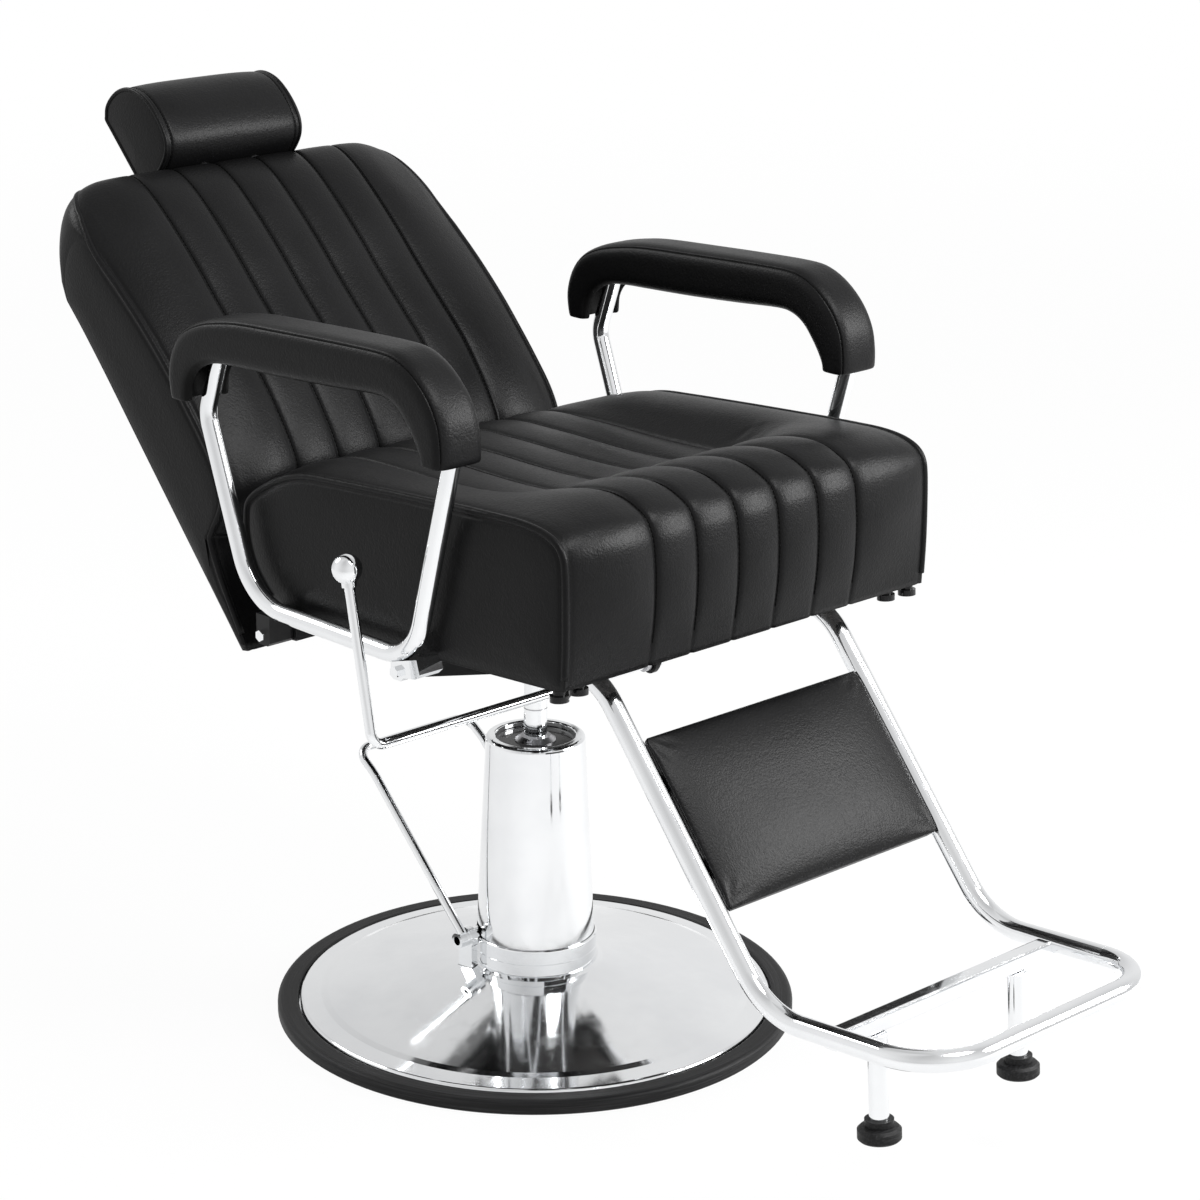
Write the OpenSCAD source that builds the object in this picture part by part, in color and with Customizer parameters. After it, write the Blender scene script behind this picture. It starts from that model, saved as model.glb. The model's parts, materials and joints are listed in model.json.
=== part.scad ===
// Hydraulic barber chair, drawn reclined and part raised.
// Origin at the middle of the base on the floor. +Z is up and the chair faces -Y.

/* [Base] */
// Outer diameter of the rubber rim
rim_d = 630; // [560:5:760]
// Height of the rubber rim
rim_h = 17; // [14:1:24]
// Radial width of the rubber rim
rim_w = 26; // [20:1:36]
// Thickness of the steel base plate
plate_t = 6; // [4:1:8]
// Height of the flat land that the collar stands on
dome_h = 64; // [56:1:84]
// Thickness of the dome sheet
dome_t = 2; // [1:0.5:3]
// Width of the flat band rolled round the dome
band_w = 22; // [12:1:40]
// Outer diameter of the collar
collar_d = 149; // [146:1:160]
// Height of the collar
collar_h = 33.6; // [30:0.2:44]

/* [Pump] */
// Diameter of the cover at its foot
cover_d = 144; // [138:1:144]
// Diameter of the cover at its top
cover_top_d = 120; // [100:1:134]
// Height of the cover above the collar
cover_h = 251; // [200:1:300]
// Thickness of the cover wall
cover_t = 2.5; // [1.5:0.5:4]
// Width of the lip rolled in at the top of the cover
lip_w = 12; // [8:1:18]
// Piston diameter
piston_d = 28; // [24:1:34]
// Length of piston that stands out of the cover
piston_out = 33.4; // [31:0.2:80]
// Outer diameter of the pump cylinder
cylinder_d = 44; // [38:1:44]
// Diameter of the pump casting
casting_d = 92; // [80:2:100]
// Lift below the drawn height
lift_down = 30; // [10:1:30]

/* [Pedal] */
// Diameter of the cross shaft
shaft_d = 19; // [16:1:20]
// Distance of the cross shaft behind the piston
shaft_y = 34.5; // [34:0.5:40]
// Height of the cross shaft above the dome land
shaft_rise = 33; // [30:1:40]
// Width between the bail arms
bail_w = 180; // [176:2:220]
// Diameter of the bail rod
bail_rod_d = 11; // [8:1:13]
// Knee of the bail arm, distance behind the piston
knee_y = 194; // [170:2:220]
// Knee of the bail arm, height
knee_z = 268; // [240:2:290]
// Distance of the foot bar behind the piston
bar_y = 226; // [210:2:260]
// Height of the foot bar
bar_z = 290; // [280:2:310]
// Length of the finger that works the plunger
finger_l = 20; // [18:0.5:21]

/* [Seat] */
// Height of the underside of the seat board above the floor
seat_z = 535; // [500:5:600]
// Backward tilt of the seat
seat_rake = 3.5; // [0:0.5:6]
// Width of the seat cushion
seat_w = 570; // [540:5:580]
// Length of the seat cushion
seat_l = 531; // [500:1:540]
// Distance of the front lower edge in front of the piston
seat_front = 353; // [330:1:370]
// Height of the seat cushion at its side piping
seat_t = 177; // [140:1:190]
// Thickness of the seat board
board_t = 12; // [9:1:18]
// Distance between the sewn channels
channel_w = 63.8; // [50:0.2:68]
// Crown of a sewn channel
channel_crown = 6; // [2:0.5:9]
// Crown of the side panels of the seat
seat_crown = 10; // [4:1:16]

/* [Seat frame] */
// Half the distance between the side rails
rail_x = 88; // [86:1:110]
// Thickness of the frame steel
frame_t = 4; // [3:0.5:5]
// Depth of the front cross member at its middle
cross_h = 65.5; // [55:0.5:75]
// Depth of both cross members at their ends
cross_end_h = 24; // [20:1:28]
// Width of the cross members, front to back
cross_w = 30; // [24:1:36]
// Distance of the front cross member's face in front of the piston
cross_y = 127; // [120:1:140]
// Distance of the rear cross member behind the piston
rear_cross_y = 100; // [90:1:105]
// How far the cross members end inside the seat's sides
cross_inset = 2; // [1:0.5:20]

/* [Arms] */
// Gap between the seat's side and the arm tube
arm_gap = 14.5; // [13:0.5:30]
// Diameter of the arm tube
arm_tube_d = 21; // [19:1:24]
// Wall of the bent tubes
tube_wall = 2; // [1.5:0.5:3]
// Height of the armrest top
arm_z = 895; // [860:1:940]
// Width of the armrest pad
pad_w = 66; // [50:1:66]

/* [Footrest] */
// Half the distance between the footrest tubes
foot_x = 182; // [150:1:200]
// Diameter of the footrest tube
foot_tube_d = 24; // [20:1:26]
// Distance of the front bar in front of the piston
foot_front = 797; // [740:1:840]
// Size of the square crossbar
crossbar_size = 20; // [14:1:22]
// Diameter of a leg
leg_d = 22; // [16:1:24]
// Half the distance between the legs
leg_x = 115; // [80:1:130]
// Length of a leg
leg_l = 96; // [60:1:120]
// Diameter of a rubber foot
foot_pad_d = 48; // [36:1:56]
// Length of the calf pad along the slope
calf_l = 206; // [160:1:240]
// Thickness of the calf pad at its edges
calf_t = 13; // [10:1:18]

/* [Back] */
// Lean of the back from the upright
back_lean = 43.8; // [30:0.2:60]
// Distance of the recline pins behind the seat
pivot_behind = 27; // [25:1:37]
// Height of the recline pins
pivot_z = 530; // [520:1:540]
// Diameter of the recline pins
pin_d = 12; // [8:1:14]
// Width of the back cushion
back_w = 538; // [500:2:540]
// Length of the back cushion
back_l = 612; // [580:1:650]
// Radius of the top corners of the back
back_corner = 71; // [40:1:100]
// Crown of the side panels of the back
back_crown = 14; // [4:1:18]
// Thickness of the rear shell
shell_t = 12; // [8:1:12]

/* [Headrest] */
// Width of the headrest
headrest_w = 212; // [160:2:300]
// Length of the headrest along the back
headrest_l = 118; // [90:1:140]
// Height of the headrest's lowest line over the top line of the back
headrest_lift = 6; // [5:0.5:20]
// Depth of the headrest from its flat back
headrest_t = 88; // [60:1:100]
// Diameter of the headrest posts
post_d = 12; // [8:1:14]
// Distance between the headrest posts
post_gap = 80; // [50:2:120]

/* [Recline lever] */
// Diameter of the lever rod
lever_d = 12; // [8:1:14]
// Distance of the lever's cross bar in front of the piston
lever_y = 122; // [118:1:126]
// Height of the lever's cross bar
lever_z = 453; // [446:1:454]
// Distance of the lever's upright outside the arm frame
lever_out = 45; // [35:1:70]
// Distance of the knob in front of the piston
knob_y = 83; // [60:1:110]
// Height of the knob
knob_z = 648; // [600:1:700]
// Diameter of the knob
knob_d = 34; // [26:1:40]

/* [Locking strut] */
// Distance of the strut from the middle
strut_x = 62; // [56:1:66]
// Diameter of the strut barrel
strut_d = 20; // [16:1:20]
// Distance of the strut's front pin in front of the piston
strut_y = 85; // [82:1:90]
// Height of the strut's front pin
strut_z = 466; // [462:0.5:466]
// Distance from the recline pins to the strut's rear pin
strut_arm = 85; // [80:1:90]

/* [Fits] */
// Radial clearance of every running fit
run_gap = 0.05; // [0.02:0.01:0.1]
// Gap between soft pieces and their neighbours
soft_gap = 0.4; // [0.2:0.1:1]

/* [Hidden] */
$fn = 48;

chrome = "silver";
black = [0.09, 0.09, 0.1];
steel = [0.16, 0.16, 0.17];

// A straight tube laps this far over a bend that is thinner by bend_step.
bend_lap = 0.5;
bend_step = 0.02;

arm_x = seat_w / 2 + arm_gap + arm_tube_d / 2;
cross_half = seat_w / 2 - cross_inset;
lever_x = arm_x + lever_out;
pivot_y = seat_l - seat_front + pivot_behind;
cover_foot_z = dome_h + collar_h - 9.6;
cover_top_z = dome_h + collar_h + cover_h;
seam_z = cover_top_z + piston_out;
gland_z = cover_top_z - 14;
piston_foot_z = lift_down + 25;
shaft_z = dome_h + shaft_rise;
finger_y = shaft_y + finger_l;
lug_t = 9;
lug_x = collar_d / 2 + 0.5;
spigot_r = 9;
spigot_l = 60;
mount_z = seat_z + cross_y * tan(seat_rake) - cross_h + 0.3;
flange_r = 52;
flange_bolt_r = 42;
cross_lower = -cross_h;
panel_x = 2.5 * channel_w;
foot_rake = 3.95;
post_v = 27.6;
strut_rear = [pivot_y + strut_arm * sin(3.4), pivot_z - strut_arm * cos(3.4)];
strut_front = [-strut_y, strut_z];
strut_pitch = atan2(strut_rear[1] - strut_front[1], strut_rear[0] - strut_front[0]);
strut_l = norm(strut_rear - strut_front);
strut_dir = unit(strut_rear - strut_front);
valve_reach = 21.5;

// ---- shared functions and shapes ----

function unit(v) = v / norm(v);
function heading(p, i) = unit(p[i + 1] - p[i]);
function turn(p, i) = acos(heading(p, i - 1) * heading(p, i));
function setback(p, rad, i) = i == 0 || i == len(p) - 1 ? 0 : rad[i] * tan(turn(p, i) / 2);
function across(d) = unit(cross(abs(d[0]) > 0.7 ? [0, 0, 1] : [1, 0, 0], d));
function arc(centre, r, from, to, steps) = [
    for (i = [0 : steps]) let (a = from + (to - from) * i / steps) centre + r * [cos(a), sin(a)]
];
// Side view points turned into the tilted frame of the seat board
function board_y(y, z) = y * cos(seat_rake) - (z - seat_z) * sin(seat_rake);
function board_h(y, z) = y * sin(seat_rake) + (z - seat_z) * cos(seat_rake);

module frame_at(origin, x_dir, y_dir) {
    z_dir = cross(x_dir, y_dir);
    multmatrix([
        [x_dir[0], y_dir[0], z_dir[0], origin[0]],
        [x_dir[1], y_dir[1], z_dir[1], origin[1]],
        [x_dir[2], y_dir[2], z_dir[2], origin[2]],
        [0, 0, 0, 1]
    ]) children();
}

module ring_section(r, bore) {
    difference() {
        circle(r);
        if (bore > 0) circle(bore);
    }
}

// Round tube along points p, bent to the radii rad at its inner points
module bent_tube(p, rad, r, bore = 0, step = bend_step) {
    for (i = [0 : len(p) - 2]) {
        d = heading(p, i);
        start = i == 0 ? 0 : bend_lap;
        finish = i == len(p) - 2 ? 0 : bend_lap;
        a = p[i] + d * (setback(p, rad, i) - start);
        b = p[i + 1] - d * (setback(p, rad, i + 1) - finish);
        frame_at(a, cross(across(d), d), across(d))
            linear_extrude(norm(b - a)) ring_section(r, bore);
    }
    for (i = [1 : len(p) - 2]) {
        d = heading(p, i - 1);
        e = heading(p, i);
        inward = unit(e - d * (e * d));
        frame_at(p[i] - d * setback(p, rad, i) + inward * rad[i], -inward, d)
            rotate_extrude(angle = turn(p, i))
                translate([rad[i], 0]) ring_section(r - step, bore > 0 ? bore + step : 0);
    }
}

// Cylinder along +X, from x to x + l
module rod_x(x, y, z, r, l) {
    translate([x, y, z]) rotate([0, 90, 0]) cylinder(h = l, r = r);
}

// Extrudes a side view outline, given in y and z, along +X from x
module side_plate(x, t, outline) {
    translate([x, 0, 0]) rotate([90, 0, 90]) linear_extrude(t) polygon(outline);
}

// Hexagon bolt along +Z with its head below zero
module hex_bolt(d, l, head_h) {
    cylinder(h = l, d = d, $fn = 24);
    translate([0, 0, -head_h]) cylinder(h = head_h, d = d * 1.75, $fn = 6);
}

module both_sides() {
    for (side = [-1, 1]) scale([side, 1, 1]) children();
}

module on_board() {
    translate([0, 0, seat_z]) rotate([-seat_rake, 0, 0]) children();
}

// Frame of the back: +Z runs up the back and -Y is its front
module on_back() {
    translate([0, pivot_y, pivot_z]) rotate([-back_lean, 0, 0]) children();
}

// ---- lofted soft forms ----

// Each ring is a list of points in one plane. The end caps are strips between the first split points and
// the rest.
function bridge(a, b, ka, kb, i = 0, j = 0) =
    i == len(a) - 1 && j == len(b) - 1 ? [] :
    j == len(b) - 1 || (i < len(a) - 1 && ka[i + 1] <= kb[j + 1]) ?
        concat([[a[i], a[i + 1], b[j]]], bridge(a, b, ka, kb, i + 1, j)) :
        concat([[a[i], b[j + 1], b[j]]], bridge(a, b, ka, kb, i, j + 1));

module loft(rings, keys, split) {
    n = len(rings[0]);
    last = len(rings) - 1;
    front = [for (i = [0 : split]) i];
    rear = [for (i = [n - 1 : -1 : split + 1]) i];
    cap = bridge(front, rear, [for (i = front) keys[i]], [for (i = rear) keys[i]]);
    sides = [
        for (s = [0 : last - 1], i = [0 : n - 1])
            let (a = s * n + i, b = s * n + (i + 1) % n)
                each [[a, b, b + n], [a, b + n, a + n]]
    ];
    foot = [for (t = cap) [t[2], t[1], t[0]]];
    lid = [for (t = cap) t + [1, 1, 1] * last * n];
    points = [for (ring = rings, p = ring) p];
    polyhedron(points = points, faces = concat(foot, sides, lid), convexity = 6);
}

// Outward normal of an outline that runs up its front
function normal_at(line, i) =
    let (n = len(line), d = unit(line[(i + 1) % n] - line[(i + n - 1) % n])) [-d[1], d[0]];

// Crown fades out at both ends of the sewn face
function crown_share(i, first, last) = max(0, min(1, (i - first) / 2, (last - i) / 3));

// Outline drawn in towards its middle
function drawn_in(line, depth) =
    let (middle = [for (p = line) 1] * line / len(line)) [for (p = line) p + unit(middle - p) * depth];

// Stations across an upholstered piece: x, blend towards the middle outline, channel crown, panel crown,
// depth of the board recess and draw-in
function channel_stations(recess) = [
    for (k = [0 : 4], f = [0, 0.2, 0.5, 0.8])
        [
            (k - 2.5 + f) * channel_w, 1, f == 0 ? 0 : f == 0.5 ? channel_crown : 0.72 * channel_crown, 0,
            recess, 0
        ],
    [panel_x, 1, 0, 0, recess, 0]
];
function panel_station(side, share, half, blend, crown, recess, draw) =
    [side * (panel_x + share * (half - panel_x)), blend, 0, crown, recess, draw];
function side_stations(side, half, crown, recess, draw) = [
    panel_station(side, 0.1, half, 0.88, 0.4 * crown, recess, 0),
    panel_station(side, 0.3, half, 0.6, 0.85 * crown, recess, 0),
    panel_station(side, 0.55, half, 0.2, crown, recess, 0),
    panel_station(side, 0.8, half, 0.02, 0.7 * crown, recess, 0),
    panel_station(side, 0.88, half, 0, 0.45 * crown, recess, 0),
    panel_station(side, 0.885, half, 0, 0.43 * crown, 0, 0),
    panel_station(side, 1, half, 0, 0, 0, 0),
    panel_station(side, 1 - 0.026, half, 0, 0, 0, draw)
];
function backwards(list) = [for (i = [len(list) - 1 : -1 : 0]) list[i]];
function all_stations(half, crown, recess, draw) = concat(
    backwards(side_stations(-1, half, crown, recess, draw)),
    channel_stations(recess),
    side_stations(1, half, crown, recess, draw)
);
board_share = 0.88;

// ---- base ----

module base_plate() {
    color(steel) difference() {
        cylinder(h = plate_t, r = rim_d / 2 - rim_w - 0.2, $fn = 96);
        for (a = [45 : 90 : 315]) rotate(a) translate([casting_d / 2 + 10, 0, -1])
            cylinder(h = plate_t + 2, d = 10);
        both_sides() for (s = [-1, 1]) translate([lug_x + lug_t + 8, shaft_y + s * 16, -1])
            cylinder(h = plate_t + 2, d = 8);
    }
}

module rubber_rim() {
    inner = rim_d / 2 - rim_w;
    groove = plate_t + dome_t + 0.1;
    color(black) rotate_extrude($fn = 96) polygon(concat(
        [[inner, 0], [rim_d / 2 - 2, 0], [rim_d / 2, 2]],
        arc([rim_d / 2 - 7, rim_h - 7], 7, 0, 90, 6),
        arc([inner + 4, rim_h - 4], 4, 90, 180, 4),
        [[inner, groove], [inner + 8, groove], [inner + 8, plate_t], [inner, plate_t]]
    ));
}

// Outer line of the dome from its flange to the collar land
function dome_line(drop) = concat(
    [
        [rim_d / 2 - rim_w + 7.5, plate_t + dome_t - drop],
        [rim_d / 2 - rim_w - 1.5 - drop, plate_t + dome_t - drop]
    ],
    arc([rim_d / 2 - rim_w - 6.5, rim_h - 3], 5 - drop, 0, 75, 5),
    [
        [rim_d / 2 - rim_w - 5 - band_w, rim_h + 5 - drop],
        [rim_d / 2 - rim_w - 13 - band_w, rim_h + 7.6 - drop],
        [collar_d / 2 + 8, dome_h - 2.3 - drop],
        [collar_d / 2 + 2, dome_h - drop],
        [collar_d / 2 - 8, dome_h - drop]
    ]
);

module base_dome() {
    color(chrome) difference() {
        rotate_extrude($fn = 96) polygon(concat(dome_line(0), backwards(dome_line(dome_t))));
        both_sides() translate([lug_x - 0.6, shaft_y - 13, dome_h - 14]) cube([lug_t + 1.2, 26, 30]);
    }
}

module shaft_notch(width) {
    both_sides() {
        translate([cover_top_d / 4, shaft_y - width / 2, shaft_z])
            cube([collar_d / 2, width, shaft_d / 2 + 3]);
        rod_x(cover_top_d / 4, shaft_y, shaft_z, width / 2, collar_d / 2);
    }
}

module base_collar() {
    r = collar_d / 2;
    foot = cover_d / 2;
    color(chrome) difference() {
        rotate_extrude($fn = 96) polygon(concat(
            [[foot - 6, dome_h], [r - 0.5, dome_h], [r, dome_h + 1], [r, dome_h + 15],
            [r - 0.8, dome_h + 15.6],
                [r, dome_h + 16.2]],
            arc([r - 2, dome_h + collar_h - 2], 2, 0, 90, 4),
            [[foot + 0.2, dome_h + collar_h], [foot + 0.2, cover_foot_z], [foot - 6, cover_foot_z]]
        ));
        shaft_notch(shaft_d + 3);
    }
}

module pump_cover() {
    foot = cover_d / 2;
    top = cover_top_d / 2;
    color(chrome) difference() {
        rotate_extrude($fn = 96) polygon(concat(
            [[foot, cover_foot_z], [top, cover_top_z - 5]],
            arc([top - 5, cover_top_z - 5], 5, 20, 90, 5),
            arc([top - lip_w + 2, cover_top_z - 2], 2, 90, 180, 4),
            [
                [top - lip_w, cover_top_z - 8], [top - lip_w + cover_t, cover_top_z - 8],
                [top - lip_w + cover_t, cover_top_z - cover_t], [top - 5, cover_top_z - cover_t],
                [top - cover_t, cover_top_z - 5], [foot - cover_t, cover_foot_z]
            ]
        ));
        shaft_notch(shaft_d + 3);
    }
}

module pump_cap() {
    rim = cover_top_d / 2 - lip_w;
    inner = cylinder_d / 2 + 3;
    color(black) rotate_extrude($fn = 96) polygon([
        [inner, gland_z + 4], [rim + cover_t, gland_z + 4], [rim + cover_t, cover_top_z - 8],
        [rim - 0.5, cover_top_z - 8], [rim - 4, gland_z + 6.5], [inner, gland_z + 6.5]
    ]);
}

module pump_body() {
    color(steel) difference() {
        union() {
            rotate_extrude() polygon([
                [0, plate_t], [casting_d / 2 + 19, plate_t], [casting_d / 2 + 19, plate_t + 10],
                [casting_d / 2, plate_t + 10], [casting_d / 2, dome_h - 4],
                [cylinder_d / 2, shaft_z - shaft_d / 2 - 4], [cylinder_d / 2, gland_z], [0, gland_z]
            ]);
            translate([0, finger_y, plate_t + 5]) cylinder(h = shaft_z - 27 - plate_t - 5, r = 10.5);
        }
        translate([0, 0, piston_foot_z - lift_down - 5]) cylinder(h = gland_z, d = piston_d + 2 * run_gap);
        translate([0, finger_y, plate_t + 14]) cylinder(h = shaft_z, r = 5 + run_gap);
        for (a = [45 : 90 : 315]) rotate(a) translate([casting_d / 2 + 10, 0, 0])
            cylinder(h = plate_t + 20, d = 10.4);
    }
}

module pump_gland() {
    r = piston_d / 2 + run_gap;
    color(steel) rotate_extrude() polygon([
        [r, gland_z], [cylinder_d / 2 + 8, gland_z], [cylinder_d / 2 + 8, gland_z + 4],
        [cylinder_d / 2 + 2.6, gland_z + 4], [cylinder_d / 2 + 2.6, gland_z + 8],
        [piston_d / 2 + 4, cover_top_z - 1], [r, cover_top_z - 1]
    ]);
}

module pump_bolts() {
    color(steel) {
        for (a = [45 : 90 : 315]) rotate(a) translate([casting_d / 2 + 10, 0, plate_t + 10.1])
            mirror([0, 0, 1]) hex_bolt(9.8, plate_t + 9, 6);
        both_sides() for (s = [-1, 1]) translate([lug_x + lug_t + 8, shaft_y + s * 16, plate_t + 8])
            mirror([0, 0, 1]) hex_bolt(7.8, plate_t + 6, 5);
    }
}

// ---- pedal ----

module pedal_lugs() {
    outer = shaft_d / 2 + 4.5;
    color(black) both_sides() difference() {
        union() {
            side_plate(lug_x, lug_t, concat(
                [[shaft_y - 12, plate_t], [shaft_y + 12, plate_t]],
                arc([shaft_y, shaft_z], outer - 2, -10, 190, 12)
            ));
            rod_x(lug_x, shaft_y, shaft_z, outer, lug_t);
            translate([lug_x, shaft_y - 25, plate_t]) cube([lug_t + 18, 50, 8]);
        }
        rod_x(lug_x - 1, shaft_y, shaft_z, shaft_d / 2 + run_gap, lug_t + 2);
        for (s = [-1, 1]) translate([lug_x + lug_t + 8, shaft_y + s * 16, 0]) cylinder(h = dome_h, d = 8.4);
    }
}

module pedal_bail() {
    x = bail_w / 2;
    color(chrome) difference() {
        union() {
            rod_x(-x - 7, shaft_y, shaft_z, shaft_d / 2, bail_w + 14);
            bent_tube([
                [-x, shaft_y - 2.5, shaft_z + 8], [-x, knee_y, knee_z], [-x, bar_y, bar_z],
                [x, bar_y, bar_z], [x, knee_y, knee_z], [x, shaft_y - 2.5, shaft_z + 8]
            ], [0, 60, 20, 20, 60, 0], bail_rod_d / 2, $fn = 24);
        }
        rod_x(-x - 8, shaft_y, shaft_z, shaft_d / 2 - 4, bail_w + 16);
    }
}

module pump_finger() {
    color(steel) difference() {
        union() {
            rod_x(-9, shaft_y, shaft_z, shaft_y - cylinder_d / 2 - 0.5, 18);
            translate([-7, shaft_y, shaft_z - 6]) cube([14, finger_l, 12]);
            rod_x(-7, finger_y, shaft_z, 6, 14);
        }
        rod_x(-10, shaft_y, shaft_z, shaft_d / 2 + run_gap, 20);
    }
}

module pump_plunger() {
    top = shaft_z - 6 - 0.3;
    color(chrome) {
        translate([0, finger_y, plate_t + 26]) cylinder(h = top - plate_t - 26, r = 5);
        translate([0, finger_y, top - 4]) cylinder(h = 4, r = 7.5);
    }
}

// ---- ram ----

module piston_rod() {
    r = piston_d / 2;
    color(chrome) rotate_extrude() polygon([
        [0, piston_foot_z], [r - 4, piston_foot_z], [r - 4, piston_foot_z + 6], [r, piston_foot_z + 6],
        [r, seam_z], [spigot_r, seam_z], [spigot_r, seam_z + spigot_l - 1], [spigot_r - 1, seam_z + spigot_l],
        [0, seam_z + spigot_l]
    ]);
}

module piston_seal() {
    color(black) translate([0, 0, piston_foot_z]) difference() {
        cylinder(h = 5.9, d = piston_d);
        translate([0, 0, -1]) cylinder(h = 8, d = piston_d - 7.8);
    }
}

module thrust_washer() {
    color(steel) translate([0, 0, seam_z]) difference() {
        cylinder(h = 1.5, d = piston_d - 1);
        translate([0, 0, -1]) cylinder(h = 4, r = spigot_r + 0.3);
    }
}

// ---- seat frame ----

module flange_holes(d) {
    for (a = [45 : 90 : 315]) rotate(a) translate([flange_bolt_r, 0, mount_z - 20]) cylinder(h = 40, d = d);
}

module seat_spindle() {
    r = piston_d / 2;
    color(chrome) difference() {
        rotate_extrude() polygon([
            [spigot_r + run_gap, seam_z + 1.6], [r, seam_z + 1.6], [r, mount_z - 34], [r + 12, mount_z - 10],
            [flange_r, mount_z - 10], [flange_r, mount_z], [0, mount_z], [0, seam_z + spigot_l + 2],
            [spigot_r + run_gap, seam_z + spigot_l + 2]
        ]);
        flange_holes(8.2);
    }
}

module spindle_bolts() {
    color(steel) for (a = [45 : 90 : 315]) rotate(a) translate([flange_bolt_r, 0, mount_z - 10.1]) {
        hex_bolt(8, 26, 5);
        translate([0, 0, 18.2]) cylinder(h = 6, d = 13, $fn = 6);
    }
}

module mount_plate() {
    color(steel) difference() {
        translate([-rail_x + frame_t / 2, -cross_y + cross_w, mount_z])
            cube([2 * rail_x - frame_t, cross_y - cross_w + 75, 8]);
        flange_holes(8.2);
    }
}

module side_rails() {
    color(steel) both_sides() difference() {
        union() {
            side_plate(rail_x - frame_t / 2, frame_t, concat(
                [
                    [-cross_y + cross_w, mount_z], [70, mount_z], [pivot_y - 30, pivot_z - 16]
                ],
                arc([pivot_y, pivot_z], 15, -110, 80, 10),
                [
                    [rear_cross_y + cross_w + 6, seat_z - (rear_cross_y + cross_w) * tan(seat_rake) - 0.6],
                    [-cross_y + cross_w, seat_z + (cross_y - cross_w) * tan(seat_rake) - 0.3]
                ]
            ));
        }
        on_board() translate([0, rear_cross_y, -cross_end_h]) cube([cross_half, cross_w, cross_end_h + 1]);
        rod_x(rail_x - frame_t, pivot_y, pivot_z, pin_d / 2 + 0.02, 2 * frame_t);
    }
}

module front_cross_member() {
    t = frame_t - 1;
    deep = cross_h;
    color(steel) on_board() difference() {
        translate([0, -cross_y + cross_w, 0]) rotate([90, 0, 0]) linear_extrude(cross_w) polygon([
            [-cross_half, 0], [cross_half, 0], [cross_half, -cross_end_h], [75, -deep], [-75, -deep],
            [-cross_half, -cross_end_h]
        ]);
        translate([0, -cross_y + cross_w + 1, 0]) rotate([90, 0, 0]) linear_extrude(cross_w - t + 1) polygon([
            [-cross_half + t, -t], [cross_half - t, -t], [cross_half - t, -cross_end_h + t], [75, -deep + t],
            [-75, -deep + t], [-cross_half + t, -cross_end_h + t]
        ]);
        for (side = [-1, 1]) translate([side * cross_half, 0, 0]) arm_hole(front_bolt);
    }
}

module rear_cross_member() {
    t = frame_t - 1;
    color(steel) on_board() difference() {
        translate([-cross_half, rear_cross_y, -cross_end_h]) cube([2 * cross_half, cross_w, cross_end_h]);
        translate([-cross_half + t, rear_cross_y + t, -cross_end_h - 1])
            cube([2 * cross_half - 2 * t, cross_w - 2 * t, cross_end_h - t + 1]);
        for (side = [-1, 1]) translate([side * cross_half, 0, 0]) arm_hole(rear_bolt);
    }
}

// Bolt hole through the end wall of a cross member, at a side view point
module arm_hole(at) {
    rod_x(-10, board_y(at[0], at[1]), board_h(at[0], at[1]), 4.2, 20);
}

front_bolt = [-121.5, 531];
rear_bolt = [rear_cross_y + cross_w / 2, seat_z - 19];

board_half = panel_x + board_share * (seat_w / 2 - panel_x) - soft_gap;
board_front = -seat_front + 0.03 * seat_l;
board_rear = -seat_front + 0.9 * seat_l;

module seat_board() {
    color([0.35, 0.27, 0.18]) on_board() translate([-board_half, board_front + soft_gap, 0])
        cube([2 * board_half, board_rear - board_front - 2 * soft_gap, board_t]);
}

// Side outlines of the seat in shares of its length and thickness: the piped edge and the dished middle
seat_edge = [
    [0, 0.01], [-0.01, 0.3], [-0.015, 0.565], [-0.016, 0.77], [-0.01, 0.86], [0.007, 0.92], [0.035, 0.96],
    [0.07, 0.985], [0.115, 1], [0.17, 1.005], [0.225, 1.008], [0.28, 1.01], [0.335, 1.01], [0.39, 1.01],
    [0.485, 1.01], [0.59, 1.008], [0.69, 1.005], [0.79, 0.995], [0.87, 0.94], [0.94, 0.845], [0.985, 0.755],
    [0.999, 0.66], [1, 0.5], [0.98, 0.32], [0.945, 0.186], [0.906, 0.08]
];
seat_middle = [
    [0, 0.01], [-0.022, 0.3], [-0.03, 0.565], [-0.028, 0.77], [-0.021, 0.86], [-0.006, 0.94], [0.021, 0.995],
    [0.058, 1.04], [0.104, 1.06], [0.166, 1.05], [0.226, 1.01], [0.282, 0.94], [0.335, 0.89], [0.39, 0.867],
    [0.486, 0.87], [0.59, 0.887], [0.693, 0.91], [0.797, 0.927], [0.88, 0.935], [0.95, 0.91], [0.99, 0.84],
    [1.003, 0.7], [1.004, 0.53], [0.985, 0.32], [0.945, 0.186], [0.906, 0.08]
];

function seat_floor(recess) = [
    [board_rear + 0.5, recess > 0 ? recess : 0.03 * seat_t],
    [board_rear, recess],
    [board_front, recess],
    [board_front - 0.5, 0]
];

function seat_ring(s) = let (
    size = [seat_l, seat_t],
    mix = [for (i = [0 : len(seat_edge) - 1]) seat_edge[i] * (1 - s[1]) + seat_middle[i] * s[1]],
    line = concat(
        [for (p = mix) [p[0] * size[0] - seat_front, p[1] * size[1]]],
        seat_floor(s[4])
    ),
    crowned = [
        for (i = [0 : len(line) - 1])
            line[i] + normal_at(line, i) * (s[2] + s[3]) * crown_share(i, 0, 22)
    ]
) [for (q = drawn_in(crowned, s[5])) [s[0], q[0], q[1]]];

module seat_cushion() {
    rings = [for (s = all_stations(seat_w / 2, seat_crown, board_t, 7)) seat_ring(s)];
    color(black) on_board() loft(rings, [for (p = rings[0]) p[1]], 25);
}

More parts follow.
